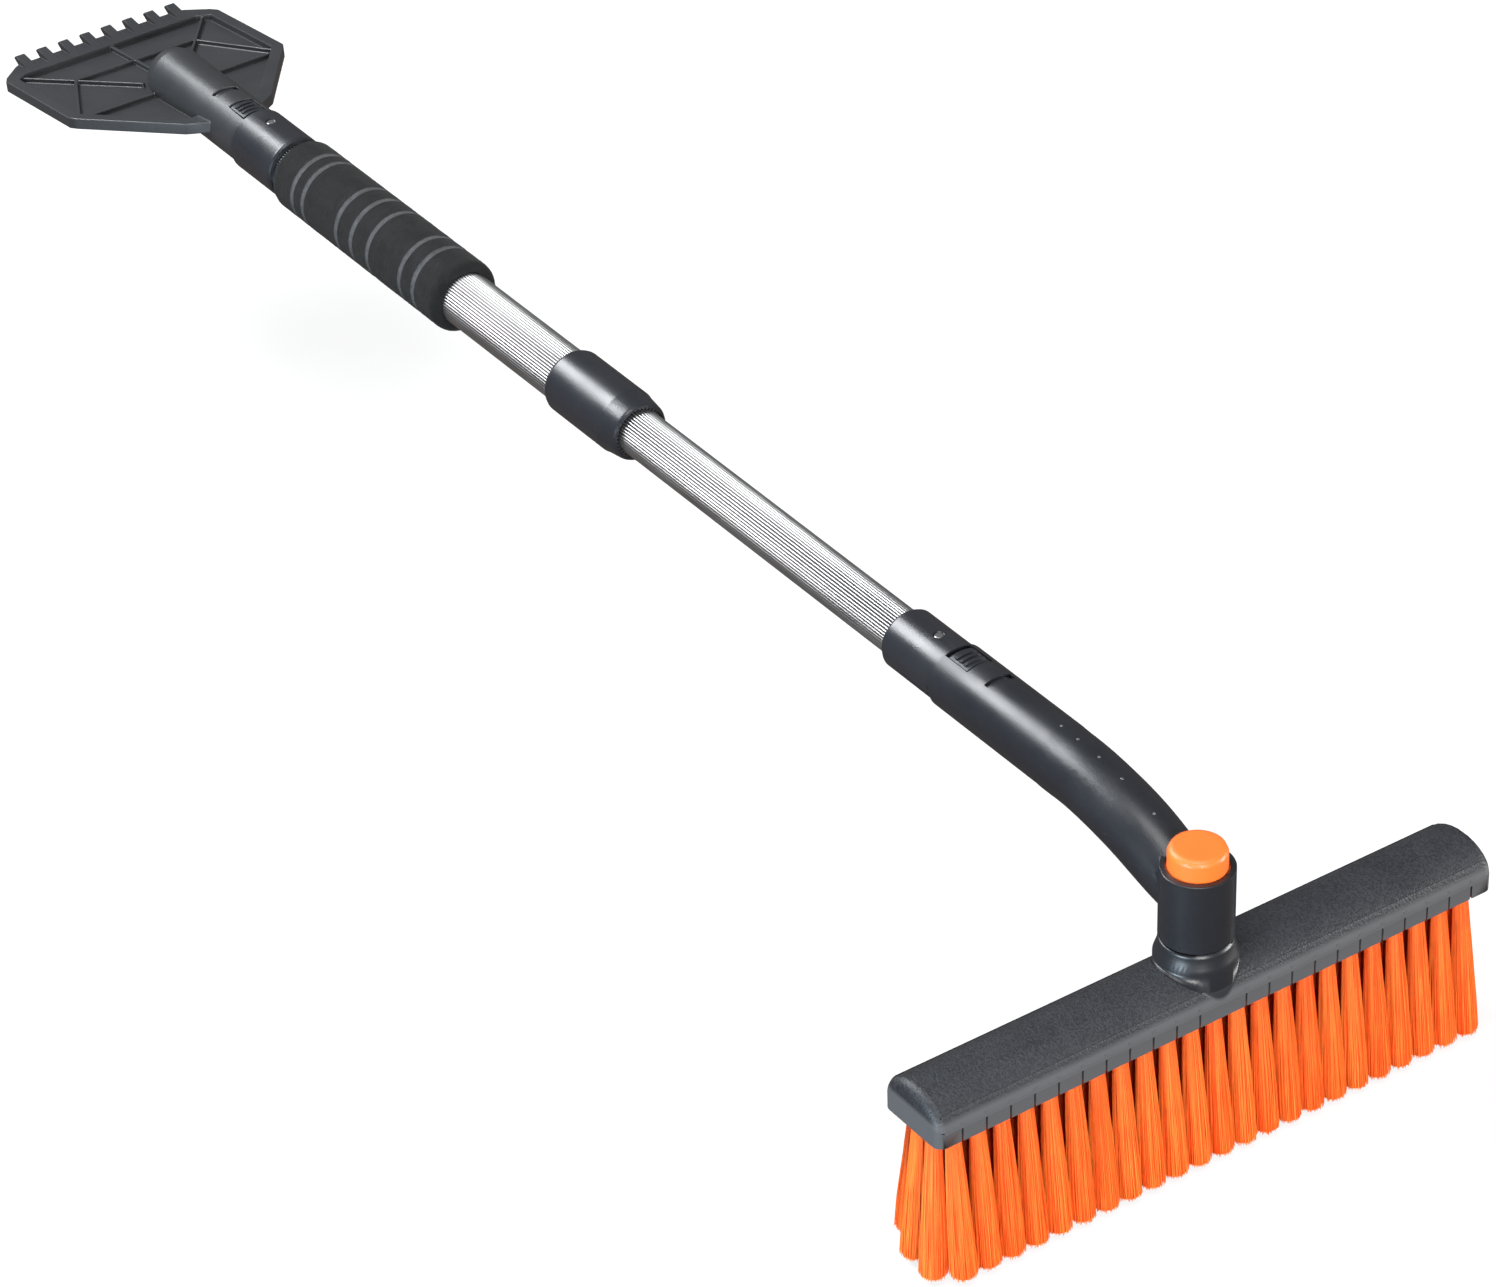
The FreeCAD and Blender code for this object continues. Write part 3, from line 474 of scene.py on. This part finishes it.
def foamMaterial():
    # closed-cell foam: open pores over fine crumb, and paler printed bands
    material, tree, shader, place = newMaterial("foamRubber", Roughness=0.85)
    shader.inputs["Sheen Weight"].default_value = 0.04
    shader.inputs["Sheen Roughness"].default_value = 0.5
    shader.inputs["Specular IOR Level"].default_value = 0.16
    pores = addNode(tree, "ShaderNodeTexVoronoi", Scale=foamLook["pores"], Randomness=1.0)
    crumb = addNode(
        tree, "ShaderNodeTexNoise", Scale=foamLook["crumb"], Detail=4.0, Roughness=0.7,
    )
    join(tree, place, "Object", pores, "Vector")
    join(tree, place, "Object", crumb, "Vector")
    holes = spread(tree, pores, "Distance", 0.05, 0.42, 0.0, 1.0)
    rough = maths(tree, "MULTIPLY", (crumb, "Fac"), 0.55)
    height = maths(tree, "ADD", (holes, "Result"), (rough, "Value"))
    dark = useGroup(tree, toneDrift, place, Color=foamLook["dark"], Amount=0.3, Scale=160.0)
    grey = useGroup(tree, toneDrift, place, Color=foamLook["bands"], Amount=0.25, Scale=300.0)
    band = addNode(tree, "ShaderNodeAttribute", {"attribute_name": "band"})
    flecks = spread(tree, crumb, "Fac", 0.35, 0.6, 0.72, 1.0)
    patchy = maths(tree, "MULTIPLY", (band, "Fac"), (flecks, "Result"))
    colour = mixColour(tree, (patchy, "Value"), (dark, "Color"), (grey, "Color"))
    shade = spread(tree, holes, "Result", 0.0, 1.0, 0.55, 1.0)
    feed(tree, scaled(tree, colour, (shade, "Result")), shader.inputs["Base Color"])
    bumped(tree, shader, (height, "Value"), 0.9, foamLook["relief"])
    return material


# the root colour, with its heights, is painted shade near the roots
bristleLook = {
    "deep": (0.95, 0.105, 0.008), "bright": (1.0, 0.245, 0.036), "root": (0.85, 0.085, 0.010),
    "shaded": (0.30, 0.014, 0.004), "rootShadeFrom": 0.045, "rootShadeTo": 0.080, "rootShadeShare": 0.5,
}


def bristleMaterial():
    # orange filament: each has its own tone; painted shade makes it darker and redder near the
    # root
    material, tree, shader, place = newMaterial("bristle", Roughness=0.42)
    shader.inputs["Subsurface Weight"].default_value = 0.12
    shader.inputs["Subsurface Radius"].default_value = (0.004, 0.0012, 0.0004)
    shader.inputs["Subsurface Scale"].default_value = 0.4
    tone = addNode(tree, "ShaderNodeAttribute", {"attribute_name": "tone"})
    colour = mixColour(tree, (tone, "Fac"), bristleLook["deep"], bristleLook["bright"])
    axes = tree.nodes.new("ShaderNodeSeparateXYZ")
    join(tree, place, "Object", axes, "Vector")
    rootShadeFrom, rootShadeTo = bristleLook["rootShadeFrom"], bristleLook["rootShadeTo"]
    # painted shade: darker and redder towards the roots
    rootShade = spread(tree, axes, "Z", rootShadeFrom, rootShadeTo, 0.0, bristleLook["rootShadeShare"])
    rootShaded = mixColour(tree, (rootShade, "Result"), colour, bristleLook["root"])
    shade = addNode(tree, "ShaderNodeAttribute", {"attribute_name": "shade"})
    shaded = mixColour(tree, (shade, "Fac"), rootShaded, bristleLook["shaded"])
    drift = useGroup(tree, toneDrift, place, Amount=0.08, Scale=160.0)
    feed(tree, shaded, drift.inputs["Color"])
    join(tree, drift, "Color", shader, "Base Color")
    streaks = addNode(tree, "ShaderNodeTexNoise", Scale=4000.0, Detail=2.0)
    join(tree, place, "Object", streaks, "Vector")
    rough = spread(tree, streaks, "Fac", 0.3, 0.7, 0.36, 0.52)
    join(tree, rough, "Result", shader, "Roughness")
    bumped(tree, shader, (streaks, "Fac"), 0.3, 0.00002)
    return material


foamRubber = foamMaterial()
bristle = bristleMaterial()
print("materials ready:", len(bpy.data.materials))


flutedTube = {"pitch": 0.00145, "depth": 0.00045, "wall": 0.0011, "steps": 6, "ends": 0.0004}


def grooveAt(arm, flutes):
    # 0 on the crests between flutes, 1 at the bottom of a flute
    turn = math.atan2(arm.y, arm.z) * flutes
    return (0.5 - 0.5 * math.cos(turn)) ** 2


def makeTube(node, name, body):
    # a drawn tube with fine flutes along it, open at both ends
    low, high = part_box(node)
    radius = (high.z - low.z) / 2
    flutes = round(2 * math.pi * radius / flutedTube["pitch"])
    clearSelection()
    bpy.ops.mesh.primitive_circle_add(
        vertices=flutes * flutedTube["steps"], radius=radius,
        location=(low.x, 0, (low.z + high.z) / 2), rotation=(0, math.pi / 2, 0),
    )
    tube = bpy.context.object
    tube.name = name
    applyPlace(tube)
    centre = Vector((low.x, 0, (low.z + high.z) / 2))
    for vertex in tube.data.vertices:
        arm = vertex.co - centre
        vertex.co = centre + arm * (1 - flutedTube["depth"] * grooveAt(arm, flutes) / radius)
    bpy.ops.object.mode_set(mode="EDIT")
    bpy.ops.mesh.select_all(action="SELECT")
    bpy.ops.mesh.extrude_region_move(TRANSFORM_OT_translate={"value": (high.x - low.x, 0, 0)})
    bpy.ops.object.mode_set(mode="OBJECT")
    fixNormals(tube)
    applyModifier(tube, "SOLIDIFY", thickness=flutedTube["wall"], offset=-1)
    applyModifier(
        tube, "BEVEL", width=flutedTube["ends"], segments=2, limit_method="ANGLE",
        angle_limit=math.radians(60), use_clamp_overlap=True,
    )
    # painted shade mask for the flutes, read by the tube metal
    grooveShade = tube.data.attributes.new("grooveShade", "FLOAT", "POINT")
    for index, vertex in enumerate(tube.data.vertices):
        grooveShade.data[index].value = grooveAt(vertex.co - centre, flutes)
    smoothShade(tube, 50)
    return fitPiece(tube, tubeMetal, body, (node,))


makeTube("inner_tube", "flutedInnerTube", "inner_pole")
makeTube("outer_tube", "flutedOuterTube", "outer_pole")
print("tubes fluted")


foamGrip = {
    "bands": (0.135, 0.198, 0.406, 0.497, 0.596, 0.79, 0.871), "bandWidth": 0.0028,
    "bandDepth": 0.0004, "bandEdge": 0.0004, "edge": 0.0044, "steps": 96, "spacing": 0.0006,
    "bore": 0.0132, "grain": 0.00035, "grainSize": 0.0016,
}


def bandShare(x, low, length):
    # 1 inside a band, 0 outside it
    reach = foamGrip["bandWidth"] / 2
    distance = min(abs(x - low - share * length) for share in foamGrip["bands"])
    return min(1.0, max(0.0, (reach - distance) / foamGrip["bandEdge"] + 0.5))


def makeFoamGrip():
    # the outline is spun round the pole, then the skin is made uneven
    low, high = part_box("foam_grip")
    centreZ = (low.z + high.z) / 2
    radius = (high.z - low.z) / 2
    length = high.x - low.x
    edge = foamGrip["edge"]
    corner = [(edge * (1 - math.cos(turn)), edge * (1 - math.sin(turn)))
              for turn in (math.radians(15 * step) for step in range(7))]
    outline = [(low.x, foamGrip["bore"])]
    outline += [(low.x + along, radius - drop) for along, drop in corner]
    for step in range(1, round((length - 2 * edge) / foamGrip["spacing"])):
        x = low.x + edge + step * foamGrip["spacing"]
        outline.append((x, radius - foamGrip["bandDepth"] * bandShare(x, low.x, length)))
    outline += [(high.x - along, radius - drop) for along, drop in reversed(corner)]
    outline.append((high.x, foamGrip["bore"]))
    count = len(outline)
    grip = newPiece(
        "foamGripSkin", [(x, 0, centreZ + reach) for x, reach in outline],
        edges=[(index, (index + 1) % count) for index in range(count)],
    )
    activate(grip)
    bpy.ops.object.mode_set(mode="EDIT")
    bpy.ops.mesh.select_all(action="SELECT")
    bpy.ops.mesh.spin(
        steps=foamGrip["steps"], angle=math.tau, center=(0, 0, centreZ), axis=(1, 0, 0),
    )
    bpy.ops.object.mode_set(mode="OBJECT")
    fixNormals(grip, merge=0.00002)
    crumb = bpy.data.textures.new("foamCrumb", "CLOUDS")
    crumb.noise_scale = foamGrip["grainSize"]
    applyModifier(grip, "DISPLACE", texture=crumb, strength=foamGrip["grain"], mid_level=0.75)
    band = grip.data.attributes.new("band", "FLOAT", "POINT")
    for index, vertex in enumerate(grip.data.vertices):
        band.data[index].value = bandShare(vertex.co.x, low.x, length)
    smoothShade(grip, 60)
    fitPiece(grip, foamRubber, "outer_pole", ("foam_grip",))
    return grip


makeFoamGrip()
print("foam grip spun")


filament = {"radius": 0.00019, "rings": 5, "tip": 0.55}
tufts = {
    "shell": 84, "inside": 38, "rootRadius": 0.0025, "tipRadius": 0.0057, "swell": 1.3,
    "dome": 0.0030, "core": 0.86, "coreSides": 18, "coreRings": 9, "crimp": 0.0003, "seed": 7,
    "shellReach": (0.93, 1.03), "shellTurn": 0.35, "insideReach": 0.80, "ragged": 0.0007,
    "pitch": 0.01184, "root": 0.0110, "tip": 0.01836, "toneSwing": 0.14,
}
# root and tip of the tufts at one end; the other end is alike when the brush is turned round
endTufts = (
    ((0.0054, -0.1348), (0.0112, -0.1398)),
    ((-0.0034, -0.1348), (-0.0034, -0.1386)),
)


def rowTufts(side, count):
    # the root and tip of every tuft in a row
    places = []
    for index in range(count):
        y = tufts["pitch"] * (index - (count - 1) / 2)
        places.append(((side * tufts["root"], y), (side * tufts["tip"], y)))
    return places


def bothEnds():
    return [tuple((sign * x, sign * y) for x, y in tuft) for sign in (1, -1) for tuft in endTufts]


def makeFilament():
    # one filament a metre long, rounded at its tip, with its root at the origin
    clearSelection()
    bpy.ops.mesh.primitive_cylinder_add(vertices=4, radius=1, depth=1, location=(0, 0, -0.5))
    piece = bpy.context.object
    applyPlace(piece)
    bpy.ops.object.mode_set(mode="EDIT")
    for ring in range(1, filament["rings"] + 1):
        bpy.ops.mesh.select_all(action="SELECT")
        share = ring / (filament["rings"] + 0.06)
        bpy.ops.mesh.bisect(plane_co=(0, 0, -share), plane_no=(0, 0, 1))
    bpy.ops.object.mode_set(mode="OBJECT")
    for vertex in piece.data.vertices:
        if vertex.co.z < -0.9999:
            vertex.co.x *= filament["tip"]
            vertex.co.y *= filament["tip"]
    fixNormals(piece, merge=0.0001)
    return piece


def makeCore():
    # the heart of a tuft, closed at both ends, in shares of its height and reach
    clearSelection()
    bpy.ops.mesh.primitive_cylinder_add(
        vertices=tufts["coreSides"], radius=1, depth=1, location=(0, 0, -0.5),
    )
    piece = bpy.context.object
    applyPlace(piece)
    bpy.ops.object.mode_set(mode="EDIT")
    for ring in range(1, tufts["coreRings"]):
        bpy.ops.mesh.select_all(action="SELECT")
        bpy.ops.mesh.bisect(plane_co=(0, 0, -ring / tufts["coreRings"]), plane_no=(0, 0, 1))
    bpy.ops.object.mode_set(mode="OBJECT")
    fixNormals(piece, merge=0.0001)
    return piece


def meshArrays(piece):
    points = np.array([vertex.co for vertex in piece.data.vertices])
    return points, [tuple(polygon.vertices) for polygon in piece.data.polygons]


def swellAt(share):
    # how far a tuft has opened, from its root at 0 to its tips at 1
    return 1 - (1 - share) ** tufts["swell"]


def tuftParts(draw):
    # each filament's radial share, turn, missing length, waviness and tone
    parts = []
    for index in range(tufts["shell"] + tufts["inside"]):
        if index < tufts["shell"]:
            reach = draw.uniform(*tufts["shellReach"])
            nudge = draw.uniform(-tufts["shellTurn"], tufts["shellTurn"])
            turn = math.tau * (index + nudge) / tufts["shell"]
        else:
            reach = math.sqrt(draw.uniform(0, tufts["insideReach"]))
            turn = draw.uniform(0, math.tau)
        drop = tufts["dome"] * min(1.0, reach) ** 4 + draw.uniform(0, tufts["ragged"])
        parts.append((reach, turn, drop, draw.uniform(0, math.tau), draw.random()))
    return parts


def makeTufts(node, name, places, seed, depth):
    # each tuft is a core in its own filaments; depth says how shaded its upper part is
    low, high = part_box(node)
    draw = random.Random(tufts["seed"] + seed)
    strandPoints, strandFaces = meshArrays(strand)
    corePoints, coreFaces = meshArrays(tuftCore)
    opening = tufts["tipRadius"] - tufts["rootRadius"]
    points, faces, tones, shades = [], [], [], []
    height = high.z - low.z

    def add(shape, shapeFaces, tone):
        start = sum(len(block) for block in points)
        points.append(shape)
        faces.extend(tuple(start + index for index in face) for face in shapeFaces)
        tones.append(np.full(len(shape), tone))
        rise = np.clip((shape[:, 2] - low.z) / height, 0, 1)
        shades.append(depth * rise ** 1.5)

    for (rootX, rootY), (tipX, tipY) in places:
        tuftTone = draw.uniform(-tufts["toneSwing"], tufts["toneSwing"])
        share = -corePoints[:, 2]
        reach = tufts["core"] * (tufts["rootRadius"] + opening * swellAt(share))
        core = np.empty_like(corePoints)
        core[:, 0] = rootX + (tipX - rootX) * share + corePoints[:, 0] * reach
        core[:, 1] = rootY + (tipY - rootY) * share + corePoints[:, 1] * reach
        core[:, 2] = high.z - share * (height - tufts["dome"])
        add(core, coreFaces, 0.1 + tuftTone)
        for reach, turn, drop, phase, tone in tuftParts(draw):
            share = -strandPoints[:, 2]
            radius = reach * (tufts["rootRadius"] + opening * swellAt(share))
            wave = tufts["crimp"] * share
            shape = np.empty_like(strandPoints)
            waveX = wave * np.sin(phase + 7 * share)
            waveY = wave * np.cos(phase * 2 + 6 * share)
            shape[:, 0] = (rootX + (tipX - rootX) * share + math.cos(turn) * radius
                           + waveX + strandPoints[:, 0] * filament["radius"])
            shape[:, 1] = (rootY + (tipY - rootY) * share + math.sin(turn) * radius
                           + waveY + strandPoints[:, 1] * filament["radius"])
            shape[:, 2] = high.z - share * (height - drop)
            add(shape, strandFaces, tone + tuftTone)
    row = newPiece(name, np.concatenate(points).tolist(), faces=faces)
    tone = row.data.attributes.new("tone", "FLOAT", "POINT")
    tone.data.foreach_set("value", np.clip(np.concatenate(tones), 0, 1).astype(np.float32))
    shade = row.data.attributes.new("shade", "FLOAT", "POINT")
    shade.data.foreach_set("value", np.concatenate(shades).astype(np.float32))
    smoothShade(row, 50)
    fitPiece(row, bristle, "brush_head", (node,))
    print(name, "has", sum(len(face) - 2 for face in faces), "triangles")
    return row


strand = makeFilament()
tuftCore = makeCore()
# node: name of its piece, where its tufts stand, seed and shade
tuftRows = {
    "tufts_back": ("bristlesBack", rowTufts(-1, 23), 1, 1.0),
    "tufts_middle": ("bristlesMiddle", rowTufts(0, 22), 2, 1.0),
    "tufts_front": ("bristlesFront", rowTufts(1, 23), 3, 0.15),
    "tufts_ends": ("bristlesEnds", bothEnds(), 4, 0.0),
}
for node, (name, places, seed, depth) in tuftRows.items():
    makeTufts(node, name, places, seed, depth)
for pattern in (strand, tuftCore):
    bpy.data.objects.remove(pattern)
print("tufts planted")


coilSpring = {"wire": 0.00055, "turns": 4, "steps": 24, "closed": 0.6}


def makeSpring():
    # a compression spring with its end turns closed
    low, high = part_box("button_spring")
    radius = (high.x - low.x) / 2 - coilSpring["wire"]
    wire = coilSpring["wire"]
    count = coilSpring["turns"] * coilSpring["steps"]
    curve = bpy.data.curves.new("springLine", "CURVE")
    curve.dimensions = "3D"
    curve.bevel_depth = wire
    curve.bevel_resolution = 2
    curve.use_fill_caps = True
    line = curve.splines.new("POLY")
    line.points.add(count)
    span = high.z - low.z - 2 * wire
    for index in range(count + 1):
        turn = index / coilSpring["steps"]
        share = turn / coilSpring["turns"]
        rise = share - coilSpring["closed"] * math.sin(math.tau * share) / math.tau
        angle = math.tau * turn
        line.points[index].co = (
            radius * math.cos(angle), radius * math.sin(angle), low.z + wire + span * rise, 1,
        )
    spring = bpy.data.objects.new("buttonSpring", curve)
    bpy.context.scene.collection.objects.link(spring)
    activate(spring)
    bpy.ops.object.convert(target="MESH")
    spring = bpy.context.object
    fixNormals(spring)
    smoothShade(spring, 60)
    fitPiece(spring, springMetal, "brush_head", ("button_spring",))
    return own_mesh(spring)


makeSpring()
print("spring wound")


# node: name of its copy, body, slot, material, edge width and smoothing angle
softNodes = {
    "lock_collar": ("collarShell", "collar", "moulded_plastic", collarPlastic, 0, 40),
    "scraper_ferrule": (
        "scraperFerruleShell", "outer_pole", "moulded_plastic", collarPlastic, 0, 40,
    ),
    "neck_ferrule": ("neckFerruleShell", "inner_pole", "moulded_plastic", collarPlastic, 0, 40),
    "pivot_button": ("buttonShell", "lock_button", "button_plastic", buttonPlastic, 0, 50),
    "neck": ("neckShell", "inner_pole", "moulded_plastic", neckPlastic, 0, 40),
    "scraper_head": ("scraperShell", "outer_pole", "moulded_plastic", scraperPlastic, 0.0005, 40),
    "brush_cover": ("coverShell", "brush_head", "moulded_plastic", coverPlastic, 0, 36),
}
coverEnds = {"round": 0.0042, "segments": 6}


def roundCoverEnds(piece):
    # the rim of each end face, all but its lower edge
    low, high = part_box("brush_cover")
    activate(piece)
    bpy.ops.object.mode_set(mode="EDIT")
    bpy.ops.mesh.select_mode(type="EDGE")
    bpy.ops.mesh.select_all(action="DESELECT")
    bpy.ops.object.mode_set(mode="OBJECT")
    for edge in piece.data.edges:
        ends = [piece.data.vertices[index].co for index in edge.vertices]
        atEnd = all(abs(point.y) > high.y - 0.00001 for point in ends)
        edge.select = atEnd and any(point.z > low.z + 0.0001 for point in ends)
    bpy.ops.object.mode_set(mode="EDIT")
    bpy.ops.mesh.bevel(offset=coverEnds["round"], segments=coverEnds["segments"], affect="EDGES")
    bpy.ops.object.mode_set(mode="OBJECT")


for node, (name, body, slot, material, width, degrees) in softNodes.items():
    piece = refinedNode(node, name)
    if node == "brush_cover":
        roundCoverEnds(piece)
    if width:
        softEdges(piece, width)
    smoothShade(piece, degrees)
    applyModifier(piece, "WEIGHTED_NORMAL", keep_sharp=True)
    fitPiece(piece, material, body, (node,))
    print(name, "softened")


neckPips = {"stations": (-0.089, -0.078, -0.064, -0.049, -0.028), "radius": 0.0007, "flat": 0.45}


def makeNeckPips():
    # five small moulded pips in a line along the top of the neck
    neck = bpy.data.objects["neckShell"]
    pips = []
    for x in neckPips["stations"]:
        found, place, normal, face = neck.ray_cast(Vector((x, 0, 0.3)), Vector((0, 0, -1)))
        if not found:
            raise ValueError("no neck under %g" % x)
        clearSelection()
        bpy.ops.mesh.primitive_ico_sphere_add(
            subdivisions=2, radius=neckPips["radius"], location=place,
        )
        pip = bpy.context.object
        pip.scale.z = neckPips["flat"]
        pip.rotation_euler = normal.to_track_quat("Z", "X").to_euler()
        applyPlace(pip)
        pips.append(pip)
    clearSelection()
    for pip in pips:
        pip.select_set(True)
    bpy.context.view_layer.objects.active = pips[0]
    bpy.ops.object.join()
    pips[0].name = "neckPips"
    smoothShade(pips[0], 60)
    return fitPiece(pips[0], pipPlastic, "inner_pole")


makeNeckPips()
print("pips set on the neck")


nodeMaterials = {
    "inner_guide": acetal, "collar_bush": blockPlastic, "lock_gear": acetal,
    "scraper_latch": collarPlastic, "neck_latch": collarPlastic, "tuft_block": blockPlastic,
    "scraper_ferrule_screw": screwMetal, "neck_ferrule_screw": screwMetal,
    "pivot_washer": screwMetal, "pivot_screw": screwMetal, "block_screws": screwMetal,
}
for node, material in nodeMaterials.items():
    piece = frame["nodes"][node]
    piece.data.materials.clear()
    piece.data.materials.append(material)
print("finishes given to", len(nodeMaterials), "nodes")


viewCamera = {
    "lens": 140.28, "place": (1.43698, -1.17812, 1.52977),
    "heading": 146.079, "dip": 34.691, "roll": -1.786,
}


def placeCamera():
    heading = math.radians(viewCamera["heading"])
    dip = math.radians(viewCamera["dip"])
    roll = math.radians(viewCamera["roll"])
    ahead = Vector((
        math.cos(dip) * math.cos(heading), math.cos(dip) * math.sin(heading), -math.sin(dip),
    ))
    level = Vector((math.sin(heading), -math.cos(heading), 0))
    upright = level.cross(ahead)
    right = math.cos(roll) * level + math.sin(roll) * upright
    top = math.cos(roll) * upright - math.sin(roll) * level
    lens = bpy.data.cameras.new("viewCamera")
    lens.lens = viewCamera["lens"]
    lens.clip_end = 20
    camera = bpy.data.objects.new("viewCamera", lens)
    turned = Matrix((right, top, -ahead)).transposed().to_4x4()
    camera.matrix_world = Matrix.Translation(viewCamera["place"]) @ turned
    bpy.context.scene.collection.objects.link(camera)
    bpy.context.scene.camera = camera


placeCamera()


studio = {
    "world": 0.17, "floorTone": 0.93, "floorGlow": 0.8, "bounce": (0.09, 0.07, 0.06),
    "lights": {
        # name: where it stands, its width and height, power, colour
        "leftPanel": ((-1.75, -0.7, 1.6), (1.3, 0.8), 66, (0.95, 0.975, 1.0)),
        "topPanel": ((0.2, -0.3, 2.3), (1.2, 0.9), 26, (1.0, 1.0, 1.0)),
        "rightPanel": ((1.0, 1.9, 0.35), (0.9, 0.6), 46, (1.0, 0.985, 0.97)),
        "frontPanel": ((2.1, -0.9, 0.9), (0.9, 0.9), 56, (1.0, 0.99, 0.97)),
        "bendPanel": ((0.5, -2.1, 0.25), (0.8, 0.4), 56, (0.72, 0.88, 1.0)),
    },
}


def placeLights():
    aim = Vector((-0.25, 0, 0.1))
    for name, (place, size, power, colour) in studio["lights"].items():
        panel = bpy.data.lights.new(name, "AREA")
        panel.shape = "RECTANGLE"
        panel.size, panel.size_y = size
        panel.energy = power
        panel.color = colour
        lamp = bpy.data.objects.new(name, panel)
        lamp.location = place
        lamp.rotation_euler = (aim - lamp.location).to_track_quat("-Z", "Y").to_euler()
        bpy.context.scene.collection.objects.link(lamp)
    world = bpy.data.worlds.new("studioAir")
    world.use_nodes = True
    sky = world.node_tree.nodes["Background"]
    sky.inputs["Color"].default_value = (0.97, 0.985, 1.0, 1)
    sky.inputs["Strength"].default_value = studio["world"]
    bpy.context.scene.world = world


def layFloor():
    # pale to look at, and dim in what it throws back on the object
    material, tree, shader, place = newMaterial("paleFloor", Roughness=0.9)
    shader.inputs["Base Color"].default_value = (*studio["bounce"], 1)
    shader.inputs["Specular IOR Level"].default_value = 0.0
    pale = addNode(tree, "ShaderNodeBsdfDiffuse", Color=(studio["floorTone"],) * 3 + (1,))
    glow = addNode(tree, "ShaderNodeEmission", Color=(1, 1, 1, 1), Strength=1.0)
    seen = addNode(tree, "ShaderNodeMixShader", Fac=studio["floorGlow"])
    tree.links.new(pale.outputs[0], seen.inputs[1])
    tree.links.new(glow.outputs[0], seen.inputs[2])
    ray = tree.nodes.new("ShaderNodeLightPath")
    choice = tree.nodes.new("ShaderNodeMixShader")
    join(tree, ray, "Is Camera Ray", choice, "Fac")
    tree.links.new(shader.outputs[0], choice.inputs[1])
    tree.links.new(seen.outputs[0], choice.inputs[2])
    tree.links.new(choice.outputs[0], tree.nodes["Material Output"].inputs["Surface"])
    clearSelection()
    bpy.ops.mesh.primitive_plane_add(size=14, location=(0, 0, -0.0002))
    floor = bpy.context.object
    floor.name = "studioFloor"
    floor.data.materials.append(material)


placeLights()
layFloor()
bpy.context.scene.view_settings.view_transform = "Standard"
print("studio set")
